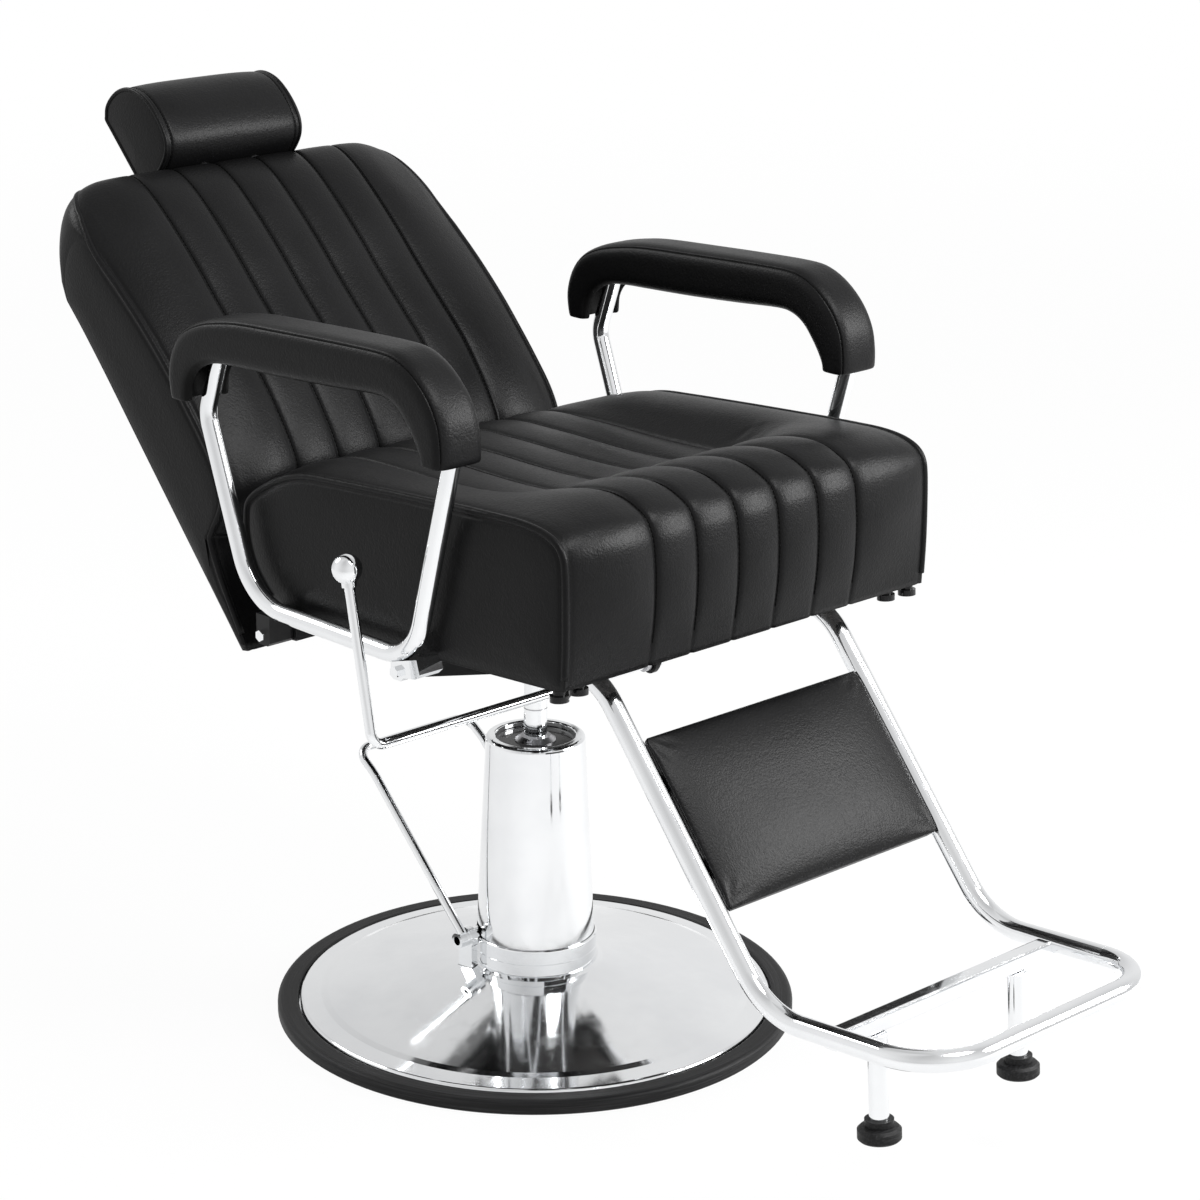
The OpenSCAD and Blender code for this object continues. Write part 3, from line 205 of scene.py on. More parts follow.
def seenDirectly(tree, where):
    # 1 for what the eye or glass sees, less in soft bands for a mirror, 0 for the light on things
    eye = tree.add("ShaderNodeLightPath", output="Is Camera Ray")
    x, y, z = tree.split(where)
    band = (roundAxis(x, y) * studio["bands"] + studio["bandTurn"]).wave() * studio["mirrorBand"]
    top = z.between(studio["topFrom"], studio["topTo"]) * studio["mirrorTop"]
    mirror = eye.beside("Is Glossy Ray") * (band + studio["mirrorLevel"] - top)
    return eye.orMore(mirror).orMore(eye.beside("Is Transmission Ray"))


def buildSky():
    world = bpy.data.worlds.new("studio")
    scene.world = world
    sky = Finish(world)
    light = sky.add("ShaderNodeBackground", inputs={"Color": (1, 1, 1), "Strength": studio["skyLight"]})
    white = sky.add("ShaderNodeBackground", inputs={"Color": (1, 1, 1), "Strength": 1.0})
    direction = sky.add("ShaderNodeTexCoord", output="Generated")
    sky.close(sky.blend(seenDirectly(sky, direction), light, white))


def layFloor():
    half = studio["floorSize"] / 2
    mesh = bpy.data.meshes.new("floor")
    corners = [(-half, -half, 0), (half, -half, 0), (half, half, 0), (-half, half, 0)]
    mesh.from_pydata(corners, [], [(0, 1, 2, 3)])
    floor = linked("floor", mesh)
    paper, where = newFinish("paper")
    matte = paper.add("ShaderNodeBsdfDiffuse", inputs={"Color": studio["floorColor"]})
    glow = paper.add("ShaderNodeEmission", inputs={"Color": (1, 1, 1), "Strength": 1.0})
    x, y = paper.split(where)[:2]
    far = fromAxis(x, y).between(studio["fadeFrom"], studio["fadeTo"])
    white = far * (1 - studio["whiteShare"]) + studio["whiteShare"]
    mesh.materials.append(paper.close(paper.blend(seenDirectly(paper, where) * white, matte, glow)))


def hangLamp(name, look):
    lamp = bpy.data.lights.new(name, "AREA")
    lamp.shape = "DISK"
    lamp.size = look["size"]
    lamp.energy = look["power"]
    holder = linked(name, lamp)
    holder.location = look["place"]
    beam = Vector((0, 0, studio["lampAim"])) - Vector(look["place"])
    holder.rotation_euler = beam.to_track_quat("-Z", "Y").to_euler()


buildSky()
layFloor()
for lampName, lampLook in lamps.items():
    hangLamp(lampName, lampLook)
print("studio lit")

# finishes: each goes from its first colour to its second, and "rough" is its lowest roughness

chromeLook = {
    "colors": ((0.88, 0.89, 0.90), (0.82, 0.83, 0.845)), "metal": 1.0, "shine": 0.5, "rough": 0.07,
    "smudge": 0.07, "clouds": 7.0, "smudges": 38.0, "ripples": 16.0, "rippleHeight": 0.002
}


def chromeFinish():
    look = chromeLook
    shader, where = newFinish("chrome")
    cloud = shader.noise(where, look["clouds"], detail=4.0, rough=0.6).between(0.35, 0.7)
    smear = shader.noise(where, look["smudges"], rough=0.55, distortion=0.8).between(0.45, 0.8)
    ripple = shader.noise(where, look["ripples"], detail=1.0)
    return shader.surface(look, shader.mix(cloud, *look["colors"]), smear * look["smudge"],
                          shader.bump(ripple, 0.05, look["rippleHeight"]))


leatherLook = {
    "colors": ((0.0034, 0.0034, 0.0036), (0.0062, 0.0062, 0.0065)), "seamAndShadeColor": (0.0012, 0.0012, 0.0012),
    "rough": 0.29, "shine": 0.13, "grain": 430.0, "pebbles": 240.0, "pebbleHeight": 0.00045,
    "creases": 46.0, "creaseHeight": 0.0012, "folds": 21.0, "foldWidth": 0.0004, "foldPatches": 5.0,
    "patches": 9.0
}


def leatherFinish():
    look = leatherLook
    shader, where = newFinish("leather")
    cell = shader.add("ShaderNodeTexVoronoi", {"feature": "SMOOTH_F1"},
                      {"Vector": where, "Scale": look["grain"], "Smoothness": 0.6, "Randomness": 0.9})
    pebble = shader.noise(where, look["pebbles"], rough=0.6)
    crease = shader.noise(where, look["creases"], detail=5.0, rough=0.6, distortion=0.6)
    fold = shader.noise(where, look["folds"], detail=2.0, distortion=1.6) - 0.5
    folded = shader.noise(where, look["foldPatches"], detail=2.0).between(0.48, 0.62)
    wrinkle = 1.0 - (1.0 - (fold * fold).between(0.0, look["foldWidth"])) * folded
    patch = shader.noise(where, look["patches"])
    # the seam mark darkens the seam lines, and on the arm pads it also paints shade inside the hollow rear
    # ends
    seam = shader.add("ShaderNodeAttribute", {"attribute_name": "seam"}, output="Fac")
    tone = patch.between(0.3, 0.75) * 0.6 + cell * 0.3
    color = shader.mix(seam * 0.9, shader.mix(tone, *look["colors"]), look["seamAndShadeColor"])
    fine = shader.bump(cell * 0.7 + pebble, 0.55, look["pebbleHeight"])
    return shader.surface(look, color, patch * 0.1 + cell * 0.12 + seam * 0.2,
                          shader.bump(crease + wrinkle * 0.25, 0.25, look["creaseHeight"], fine))


threadLook = {
    "colors": ((0.0015, 0.0015, 0.0015), (0.005, 0.005, 0.005)), "rough": 0.6, "shine": 0.05,
    "twists": 1600.0, "twistHeight": 0.0002
}


def threadFinish():
    look = threadLook
    shader, where = newFinish("thread")
    twist = shader.noise(where, look["twists"], detail=2.0)
    return shader.surface(look, shader.mix(twist, *look["colors"]), twist * 0.2,
                          shader.bump(twist, 0.4, look["twistHeight"]))


rubberLook = {
    "colors": ((0.006, 0.006, 0.0063), (0.024, 0.024, 0.025)), "rough": 0.4, "shine": 0.2, "rings": 520.0,
    "ringBreaks": 3.0, "specks": 900.0, "ringHeight": 0.0009
}


def rubberFinish():
    # fine rings run round the vertical axis, as a moulded rim has
    look = rubberLook
    shader, where = newFinish("rubber")
    x, y, z = shader.split(where)
    unrolled = {"X": fromAxis(x, y) * look["rings"], "Y": roundAxis(x, y) * look["ringBreaks"],
                "Z": z * look["rings"]}
    ring = shader.noise(shader.add("ShaderNodeCombineXYZ", inputs=unrolled), 1.0, rough=0.6)
    speck = shader.noise(where, look["specks"], detail=2.0)
    return shader.surface(look, shader.mix(ring.between(0.4, 0.75), *look["colors"]), ring * 0.2,
                          shader.bump(ring * 0.8 + speck * 0.2, 0.6, look["ringHeight"]))


paintLook = {
    "colors": ((0.006, 0.006, 0.0065), (0.012, 0.012, 0.0125)), "rough": 0.3, "shine": 0.2, "peel": 260.0,
    "peelHeight": 0.0004, "clouds": 12.0
}


def paintFinish():
    look = paintLook
    shader, where = newFinish("blackPaint")
    peel = shader.noise(where, look["peel"], detail=2.0)
    cloud = shader.noise(where, look["clouds"])
    return shader.surface(look, shader.mix(cloud, *look["colors"]), cloud * 0.12,
                          shader.bump(peel, 0.12, look["peelHeight"]))


plasticLook = {
    "colors": ((0.006, 0.006, 0.0065), (0.011, 0.011, 0.0115)), "rough": 0.1, "shine": 0.25,
    "clouds": 30.0, "waves": 160.0, "waveHeight": 0.0003
}


def plasticFinish():
    look = plasticLook
    shader, where = newFinish("glossPlastic")
    cloud = shader.noise(where, look["clouds"])
    flow = shader.noise(where, look["waves"], detail=1.0)
    return shader.surface(look, shader.mix(cloud, *look["colors"]), cloud * 0.1,
                          shader.bump(flow, 0.05, look["waveHeight"]))


plywoodLook = {
    "colors": ((0.026, 0.023, 0.021), (0.010, 0.009, 0.009)), "rough": 0.6, "shine": 0.5, "plies": 1400.0,
    "stretch": (1.2, 14.0, 14.0), "fibres": 18.0, "fibreHeight": 0.0006
}


def plywoodFinish():
    look = plywoodLook
    shader, where = newFinish("plywood")
    stretched = shader.add("ShaderNodeMapping", inputs={"Vector": where, "Scale": look["stretch"]})
    fibre = shader.noise(stretched, look["fibres"], detail=5.0, rough=0.65, distortion=0.4)
    ply = (shader.split(where)[2] * look["plies"]).wave() * 0.5 + 0.5
    tone = fibre.between(0.3, 0.7) * 0.7 + ply * 0.3
    return shader.surface(look, shader.mix(tone, *look["colors"]), fibre * 0.2,
                          shader.bump(fibre, 0.3, look["fibreHeight"]))


steelLook = {
    "colors": ((0.52, 0.52, 0.53), (0.4, 0.4, 0.42)), "metal": 1.0, "shine": 0.5, "rough": 0.2,
    "clouds": 25.0, "grain": 220.0, "grainHeight": 0.0003
}


def steelFinish():
    look = steelLook
    shader, where = newFinish("zincSteel")
    grain = shader.noise(where, look["grain"], detail=4.0, rough=0.7)
    cloud = shader.noise(where, look["clouds"])
    return shader.surface(look, shader.mix(cloud, *look["colors"]), grain * 0.2,
                          shader.bump(grain, 0.15, look["grainHeight"]))


finishes = {
    "chrome": chromeFinish(), "upholstery": leatherFinish(), "rubber": rubberFinish(),
    "black_paint": paintFinish(), "black_plastic": plasticFinish(), "plywood": plywoodFinish(),
    "plain_steel": steelFinish(), "thread": threadFinish()
}
dressedAs = {"recline_pins": "black_paint", "pedal_lugs": "chrome"}  # nodes that look unlike their slot

for part in frame["record"]["subparts"]:
    materials = nodes[part["node"]].data.materials
    materials.clear()
    materials.append(finishes[dressedAs.get(part["node"], part["material_slot"])])
print("frame dressed:", len(nodes), "nodes")

# sewn pieces are grids of points, [column, row, 3]: each column is a closed outline across the piece


def through(points, places):
    # smooth curve through the points, read at fractional indexes
    points = np.asarray(points, float)
    places = np.asarray(places, float)
    padded = np.concatenate([[2 * points[0] - points[1]], points, [2 * points[-1] - points[-2]]])
    start = np.clip(np.floor(places).astype(int), 0, len(points) - 2)
    f = (places - start).reshape((-1,) + (1,) * (points.ndim - 1))
    a, b, c, d = (padded[start + k] for k in range(4))
    return b + 0.5 * f * (c - a + f * (2 * a - 5 * b + 4 * c - d + f * (3 * (b - c) + d - a)))


def acrossRows(grid, places):
    # the same curve along every column
    return through(grid.transpose(1, 0, 2), places).transpose(1, 0, 2)


def level(table, share):
    shares, values = zip(*table)
    place = np.interp(share, shares, range(len(shares)))
    return float(through(np.array(values)[:, None], [place])[0, 0])


def unit(vectors):
    return vectors / np.maximum(np.linalg.norm(vectors, axis=-1, keepdims=True), 1e-9)


def lineNormals(line):
    along = unit(np.gradient(line, axis=0))
    return np.stack([-along[:, 1], along[:, 0]], 1)


def gridNormals(grid):
    normals = unit(np.cross(np.gradient(grid, axis=0), np.roll(grid, -1, 1) - np.roll(grid, 1, 1)))
    outward = grid - grid.mean((0, 1))
    middle = slice(len(grid) // 4, -len(grid) // 4 or None)
    return normals * np.sign((normals[middle] * outward[middle]).sum())


def dip(distance, width):
    # 1 on a seam, falling smoothly to 0 beside it
    return np.exp(-(distance / width) ** 2)


def nearest(places, marks):
    # the distance of each place from the mark that is nearest to it
    return np.min([abs(places - mark) for mark in marks], 0)


def meshPiece(name, points, faces, finish):
    # the quads are shaded smooth, and the flat ends aren't
    mesh = bpy.data.meshes.new(name)
    mesh.from_pydata(points, [], faces)
    mesh.update()
    mesh.polygons.foreach_set("use_smooth", [len(face.vertices) == 4 for face in mesh.polygons])
    mesh.materials.append(finishes[finish])
    return linked(name, mesh)


def gridObject(name, grid, closedEnds=True, seam=None):
    columns, rows = grid.shape[:2]
    index = np.arange(columns * rows).reshape(columns, rows)
    nextRow = np.roll(index, -1, 1)
    faces = np.stack([index[:-1], index[1:], nextRow[1:], nextRow[:-1]], 2).reshape(-1, 4).tolist()
    if closedEnds:
        faces += [index[0].tolist(), index[-1][::-1].tolist()]
    piece = meshPiece(name, grid.reshape(-1, 3).tolist(), faces, "upholstery")
    mesh = piece.data
    centre = Vector(grid.mean((0, 1)))
    if sum(face.normal.dot(face.center - centre) for face in mesh.polygons) < 0:
        mesh.flip_normals()
    if seam is not None:
        attribute = mesh.attributes.new("seam", "FLOAT", "POINT")
        attribute.data.foreach_set("value", seam.reshape(-1).astype(np.float32))
    return piece


clothLook = {
    "quality": 5, "mass": 0.3, "tension_stiffness": 12, "compression_stiffness": 12, "shear_stiffness": 5,
    "bending_stiffness": 0.4, "use_pressure": True, "vertex_group_mass": "sewn"
}
clothTicks = 20


def puffed(name, grid, pinned, look):
    # air pressure fills the cover between its seams, in cloth simulation
    cover = gridObject(name + "Cover", grid, closedEnds=False)
    group = cover.vertex_groups.new(name="sewn")
    group.add([int(i) for i in np.flatnonzero(pinned.reshape(-1))], 1.0, "REPLACE")
    cloth = cover.modifiers.new("cloth", "CLOTH")
    for key, value in clothLook.items():
        setattr(cloth.settings, key, value)
    cloth.settings.uniform_pressure_force = look["pressure"]
    cloth.settings.effector_weights.gravity = 0
    cloth.point_cache.frame_start = 1
    cloth.point_cache.frame_end = clothTicks
    for tick in range(clothTicks):
        scene.frame_set(tick + 1)
    shown = cover.evaluated_get(bpy.context.evaluated_depsgraph_get()).data
    after = np.empty(len(shown.vertices) * 3)
    shown.vertices.foreach_get("co", after)
    move = after.reshape(grid.shape) - grid
    bpy.data.objects.remove(cover)
    scene.frame_set(1)
    length = np.linalg.norm(move, axis=2, keepdims=True)
    print(name, "filled: moved up to", round(float(length.max()) * 1000, 1), "mm")
    return grid + move * np.minimum(1, look["cap"] / np.maximum(length, 1e-9))


def finerColumns(grid, breaks, sharesOf):
    # each stretch between two breaks is read at its own shares, so that creases stay at the breaks
    parts = []
    for first, last in zip(breaks[:-1], breaks[1:]):
        parts.append(through(grid[first:last + 1], np.array(sharesOf(first, last)) * (last - first)))
    return np.concatenate([parts[0]] + [part[1:] for part in parts[1:]])


rowsPerPoint = 4  # rows of a cover for each point of its outline


def rowsOf(outline):
    return np.arange(0, len(outline) - 1 + 0.01, 1 / rowsPerPoint)


def evenShares(steps):
    return [k / steps for k in range(steps + 1)]


def tubeAlong(path, radius, sides):
    # vertices and faces of a round tube along a path, closed at both ends
    path = np.asarray(path, float)
    along = unit(np.gradient(path, axis=0))
    guide = [1.0, 0.3, 0.1] if abs(along[:, 0]).mean() < 0.7 else [0.1, 0.3, 1.0]
    side = unit(np.cross(along, guide))
    other = np.cross(along, side)
    turn = np.linspace(0, 2 * math.pi, sides, endpoint=False)
    ring = side[:, None] * np.cos(turn)[None, :, None] + other[:, None] * np.sin(turn)[None, :, None]
    points = path[:, None] + ring * radius
    index = np.arange(len(path) * sides).reshape(len(path), sides)
    turned = np.roll(index, -1, 1)
    faces = np.stack([index[:-1], turned[:-1], turned[1:], index[1:]], 2).reshape(-1, 4).tolist()
    return points.reshape(-1, 3), faces + [index[0][::-1].tolist(), index[-1].tolist()]


def joined(name, shapes, finish):
    points, faces = [], []
    for vertices, quads in shapes:
        start = len(points)
        points += np.asarray(vertices).tolist()
        faces += [[i + start for i in quad] for quad in quads]
    return meshPiece(name, points, faces, finish)


stitchArch = [(0, -0.6), (0, 0.4), (0.5, 0.6), (1, 0.4), (1, -0.6)]  # shares of its length and thickness


def stitchesAlong(path, normals, length, gap, thick):
    # one short bead of thread for each stitch, arched out of the leather
    reach = np.concatenate([[0], np.cumsum(np.linalg.norm(np.diff(path, axis=0), axis=1))])

    def read(line, at):
        return np.array([np.interp(at, reach, line[:, k]) for k in range(3)])

    shapes = []
    for start in np.arange(gap, reach[-1] - length, length + gap):
        ends = [(start + length * share, height) for share, height in stitchArch]
        bead = [read(path, at) + unit(read(normals, at)) * thick * height for at, height in ends]
        shapes.append(tubeAlong(bead, thick / 2, sides=4))
    return shapes


def tilted(points, origin, angle):
    # side frame of a piece, in metres, turned about X and set in the chair
    c, s = math.cos(angle), math.sin(angle)
    turned = np.stack([points[..., 0], points[..., 1] * c - points[..., 2] * s,
                       points[..., 1] * s + points[..., 2] * c], -1)
    return turned + np.array(origin)


def sectioned(places, outlines):
    # a grid with one closed outline at each place across the piece
    body = np.stack(outlines)
    across = np.broadcast_to(places[:, None, None], body.shape[:2] + (1,))
    return np.concatenate([across, body], 2)


def middleLine(column, split, low, high):
    # for each point of a column, the point of its middle line that a flat end closes towards
    outline = column[:, 1:]
    where = np.clip(outline[:, 0], low, high)

    def heightOn(chain):
        order = np.argsort(chain[:, 0])
        return np.interp(where, chain[order, 0], chain[order, 1])

    middle = (heightOn(outline[:split + 1]) + heightOn(outline[split + 1:])) / 2
    return np.stack([column[:, 0], where, middle], 1)


def withCaps(body, targets, caps):
    # closes both flat ends with rings that shrink towards the middle and swell a little
    left, right = [], []
    for share, swell in caps:
        out = np.array([swell, 0, 0])
        left.append(body[0] + (targets[0] - body[0]) * share - out)
        right.append(body[-1] + (targets[1] - body[-1]) * share + out)
    return np.concatenate([np.stack(left[::-1]), body, np.stack(right)])


def heldByThread(grid, caps, firstRows, lastRow, seams=()):
    # points that the filling can't move: the flat ends, the rows at the board and the seams
    pinned = np.zeros(grid.shape[:2], bool)
    pinned[list(seams)] = True
    pinned[:, :firstRows] = True
    pinned[:, lastRow:] = True
    pinned[:caps + 1] = True
    pinned[-caps - 1:] = True
    return pinned


def sideEdges(fine, caps):
    # each side, and the column at which the face meets that side's flat end
    return [(-1, caps), (1, len(fine) - 1 - caps)]


# channels of the seat and the back

channelLook = {
    "count": 5, "width": 0.0638, "columns": 8, "crown": 0.0045, "fullness": 2.2, "shoulder": 0.8,
    "boardShare": 0.882, "creaseWidth": 0.0018, "weltIn": 0.0006, "beyond": 40.0,
    "stitch": {"length": 0.0044, "gap": 0.0012, "thick": 0.0009}, "stitchBeside": 0.0012
}
panelAt = channelLook["count"] / 2 * channelLook["width"]  # the plain side panels start here
seamX = [(k - channelLook["count"] / 2) * channelLook["width"] for k in range(channelLook["count"] + 1)]
blendAt = [(0, 1), (0.1, 0.88), (0.3, 0.6), (0.55, 0.2), (0.8, 0.02), (0.88, 0), (1, 0)]
crownAt = [(0, 0), (0.1, 0.4), (0.3, 0.85), (0.55, 1), (0.8, 0.7), (0.88, 0.45), (1, 0)]
seamShares = [
    0, 0.018, 0.04, 0.075, 0.13, 0.21, 0.31, 0.42, 0.5, 0.58, 0.69, 0.79, 0.87, 0.925, 0.96, 0.982, 1
]
besideSeam = [0.006, 0.014, 0.026]


def channelPlaces(half, panelShares):
    # columns across the face, with the indexes of the seams
    count, step = channelLook["count"], channelLook["columns"]
    inner = [-panelAt + channelLook["width"] * k / step for k in range(count * step + 1)]
    outer = [panelAt + share * (half - panelAt) for share in panelShares]
    places = np.array([-x for x in outer[::-1]] + inner + outer)
    return places, [len(outer) + k * step for k in range(count + 1)]


def channelState(x, half, panelCrown):
    # share of the middle outline, crown, and whether the board pocket is under this column
    if abs(x) <= panelAt + 1e-6:
        f = (x / channelLook["width"] + channelLook["count"] / 2) % 1.0
        f = 0.0 if f > 0.9999 else f
        full = (1 - abs(2 * f - 1) ** channelLook["fullness"]) ** channelLook["shoulder"]
        return 1.0, channelLook["crown"] * full, True
    share = (abs(x) - panelAt) / (half - panelAt)
    return level(blendAt, share), panelCrown * level(crownAt, share), share < channelLook["boardShare"]


def rowFade(rows, first, last):
    # 0 at the first and the last row, 1 from two rows after the one to three before the other
    return np.clip(np.minimum((rows - first) / 2, (last - rows) / 3), 0, 1)


def refined(world, caps, seams, lastRow):
    # closer columns, closest beside the seams, and twice the rows on the face; gives each row's place too
    def sharesOf(first, last):
        if first in seams and last in seams:
            return seamShares
        shares = evenShares((last - first) * 2)
        if first in seams:
            shares = [0] + besideSeam + shares[1:]
        if last in seams:
            shares = shares[:-1] + [1 - share for share in besideSeam[::-1]] + [1]
        return shares

    breaks = [0, caps] + seams + [len(world) - 1 - caps, len(world) - 1]
    fine = finerColumns(world, breaks, sharesOf)
    split = lastRow * rowsPerPoint + 1
    face, under = acrossRows(fine[:, :split], np.arange(0, split - 1 + 0.01, 0.5)), fine[:, split:]
    faceRows = face.shape[1]
    rowPlace = [*np.linspace(0, lastRow, faceRows), *np.full(under.shape[1], channelLook["beyond"])]
    return np.concatenate([face, under], 1), faceRows, np.array(rowPlace)


def weltCreases(fine, caps, look):
    # creases on the face and on the flat end, next to the rolled welt that runs round each side edge
    width = channelLook["creaseWidth"]
    carve = dip(abs(fine[:, :, 0]) - (look["width"] / 2 - look["creaseAt"]), width)
    for side, edge in sideEdges(fine, caps):
        travel = np.linalg.norm(fine - fine[edge][None], axis=2)
        outside = side * (np.arange(len(fine)) - edge) > 0
        carve[edge] = 0
        carve = np.where(outside[:, None], dip(travel - look["creaseAt"], width), carve)
    return carve * look["crease"]


def channelled(look, edgeLine, outlineAt, panel, rings):
    # open cover of a channelled cushion, its seams, a flat end's columns and the points that thread holds
    rows = rowsOf(edgeLine)
    places, seams = channelPlaces(look["width"] / 2, panel)
    grid = sectioned(places, [outlineAt(x, rows) for x in places])
    targets = [middleLine(grid[end], len(rows) - 1, *look["middle"]) for end in (0, -1)]
    grid = withCaps(grid, targets, rings)
    seams = [seam + len(rings) for seam in seams]
    first, last = look["held"]
    return grid, seams, len(rings), heldByThread(grid, len(rings), first, len(rows) - last, seams)


def creased(fine, caps, look, rowPlace):
    # grooves along the seams and creases beside the welts, with the mark that darkens the seams
    share = rowFade(rowPlace, -1, look["seamEnd"])[None]
    distance = nearest(fine[:, :, 0], seamX)
    carve = look["groove"] * dip(distance, look["grooveWidth"]) * share
    carve += weltCreases(fine, caps, look) * share * np.clip(look["weltEnd"] - rowPlace, 0, 1)[None]
    return fine - gridNormals(fine) * carve[..., None], dip(distance, look["seamWidth"]) * share


def seamStitches(fine, normals, topRows, look):
    rows = slice(look["stitchFrom"], topRows - look["stitchTo"])
    columnX = fine[:, topRows // 2, 0]
    threads = []
    for x in seamX:
        column = int(np.argmin(abs(columnX - x - channelLook["stitchBeside"])))
        threads += stitchesAlong(fine[column, rows], normals[column, rows], **channelLook["stitch"])
    return threads


# seat cushion: its outlines run from the lower front edge over the face to the lower rear one, in shares of
# its length and thickness

seatLook = {
    "width": 0.570, "length": 0.531, "thick": 0.177, "front": -0.353, "height": 0.535, "rake": 3.5,
    "panelCrown": 0.009, "crownEnd": 22, "seamEnd": 24, "held": (3, 10), "boardDepth": 0.0126,
    "boardRear": 0.9, "boardFront": 0.03, "boardSteps": 14, "boardEdge": 0.0006, "heel": 0.03,
    "middle": (-0.253, 0.067), "pressure": 2.5, "cap": 0.0056, "groove": 0.0021, "grooveWidth": 0.0026,
    "seamWidth": 0.0016, "creaseAt": 0.0068, "crease": 0.0011, "piping": 0.0042, "weltSunk": 0.0016,
    "weltEnd": 26.0, "weltFrom": 2, "weltTo": 4, "stitchFrom": 4, "stitchTo": 12
}
seatEdge = [
    (0, 0.01), (-0.01, 0.3), (-0.015, 0.565), (-0.016, 0.77), (-0.01, 0.86), (0.007, 0.92), (0.035, 0.96),
    (0.07, 0.985), (0.115, 1), (0.17, 1.005), (0.225, 1.008), (0.28, 1.01), (0.335, 1.01), (0.39, 1.01),
    (0.485, 1.01), (0.59, 1.008), (0.69, 1.005), (0.79, 0.995), (0.87, 0.94), (0.94, 0.845),
    (0.985, 0.755), (0.999, 0.66), (1, 0.5), (0.98, 0.32), (0.945, 0.186), (0.906, 0.08)
]
seatMiddle = [
    (0, 0.01), (-0.022, 0.3), (-0.03, 0.565), (-0.028, 0.77), (-0.021, 0.86), (-0.006, 0.94),
    (0.021, 0.995), (0.058, 1.04), (0.104, 1.06), (0.166, 1.05), (0.226, 1.01), (0.282, 0.94),
    (0.335, 0.89), (0.39, 0.867), (0.486, 0.87), (0.59, 0.887), (0.693, 0.91), (0.797, 0.927),
    (0.88, 0.935), (0.95, 0.91), (0.99, 0.84), (1.003, 0.7), (1.004, 0.53), (0.985, 0.32), (0.945, 0.186),
    (0.906, 0.08)
]
seatPanel = [0.04, 0.1, 0.17, 0.25, 0.33, 0.42, 0.51, 0.6, 0.69, 0.78, 0.86, 0.885, 0.93, 0.97, 1.0]
seatCaps = [
    (0.02, 0.0), (0.05, 0.0006), (0.08, 0.0012), (0.12, 0.002), (0.2, 0.003), (0.38, 0.0045),
    (0.6, 0.0052), (0.8, 0.0055), (0.985, 0.0055)
]


def seatOutline(x, rows):
    look = seatLook
    blend, crown, pocket = channelState(x, look["width"] / 2, look["panelCrown"])
    size = np.array([look["length"], look["thick"]])
    line = (through(seatEdge, rows) * (1 - blend) + through(seatMiddle, rows) * blend) * size
    line[:, 0] += look["front"]
    line += lineNormals(line) * (crown * rowFade(rows, 0, look["crownEnd"]))[:, None]
    deep = look["boardDepth"] if pocket else 0.0
    rear, front = (look["front"] + look[end] * look["length"] for end in ("boardRear", "boardFront"))
    board = [(rear + (front - rear) * share, deep) for share in evenShares(look["boardSteps"])]
    heel = (rear + look["boardEdge"], deep if pocket else look["heel"] * look["thick"])
    return np.concatenate([line, [heel], board, [(front - look["boardEdge"], 0.0)]])


def buildSeat():
    look = seatLook
    grid, seams, caps, pinned = channelled(look, seatEdge, seatOutline, seatPanel, seatCaps)
    world = tilted(grid, (0, 0, look["height"]), -math.radians(look["rake"]))
    world = puffed("seat", world, pinned, look)

    fine, topRows, rowPlace = refined(world, caps, seams, len(seatEdge) - 1)
    caps *= 2
    fine, mark = creased(fine, caps, look, rowPlace)
    cushion = gridObject("seatCushion", fine, seam=mark)
    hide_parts("seat_cushion")
    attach(cushion, "seat")

    normals = gridNormals(fine)
    trims = []
    run = slice(look["weltFrom"], topRows - look["weltTo"])
    for side, edge in sideEdges(fine, caps):
        path = fine[edge, run] - normals[edge, run] * look["weltSunk"]
        path = path - np.array([side * channelLook["weltIn"], 0, 0])
        trims.append(tubeAlong(path, look["piping"], sides=12))
    piping = joined("seatPiping", trims, "upholstery")
    stitching = joined("seatStitching", seamStitches(fine, normals, topRows, look), "thread")
    for piece in (piping, stitching):
        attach(piece, "seat")
    print("seat cushion sewn:", len(cushion.data.polygons), "faces")


buildSeat()

# back cushion: its outlines run from the foot up the face and over the top, as shares of its length and
# millimetres out of it

backLook = {
    "width": 0.538, "length": 0.612, "foot": -0.047, "corner": 0.071, "knee": 0.74,
    "pivot": (0, 0.205, 0.530), "lean": 43.8, "panelCrown": 0.012, "crownEnd": 16, "seamEnd": 19,
    "held": (16, 14), "shell": 0.0124, "middle": (0.03, 0.40), "pressure": 3.0, "cap": 0.007,
    "groove": 0.0016, "grooveWidth": 0.0024, "seamWidth": 0.0015, "creaseAt": 0.0066, "crease": 0.0011,
    "piping": 0.0038, "weltSunk": 0.0014, "turn": 13.0, "turnEnd": 0.09, "turnSunk": 0.005, "turnRows": 14,
    "turnBend": 1.4, "weltEnd": 13.4, "weltFrom": 2, "weltTo": 17, "stitchFrom": 20, "stitchTo": 8
}
backEdge = [
    (0, -48), (0.135, -30), (0.213, -15), (0.228, -3), (0.236, 15), (0.248, 36), (0.271, 51), (0.322, 61),
    (0.387, 65), (0.464, 67), (0.551, 67.5), (0.648, 64), (0.745, 57), (0.845, 51), (0.925, 46),
    (0.98, 37), (1, 22), (0.99, 2), (0.958, -18), (0.912, -34)
]
backMiddle = [
    (0, -47), (0.135, -28), (0.213, -11), (0.23, 5), (0.238, 27), (0.252, 48), (0.277, 63), (0.322, 72),
    (0.387, 78.5), (0.464, 82.5), (0.551, 80.5), (0.648, 77.5), (0.745, 76.5), (0.845, 72.5),
    (0.925, 65.5), (0.98, 52), (1, 32), (0.99, 7), (0.958, -17), (0.912, -34.5)
]
backRear = [
    (0.87, -40.6), (0.806, -40.2), (0.732, -40), (0.63, -41.5), (0.5, -45), (0.335, -49), (0.165, -53),
    (0.078, -55)
]
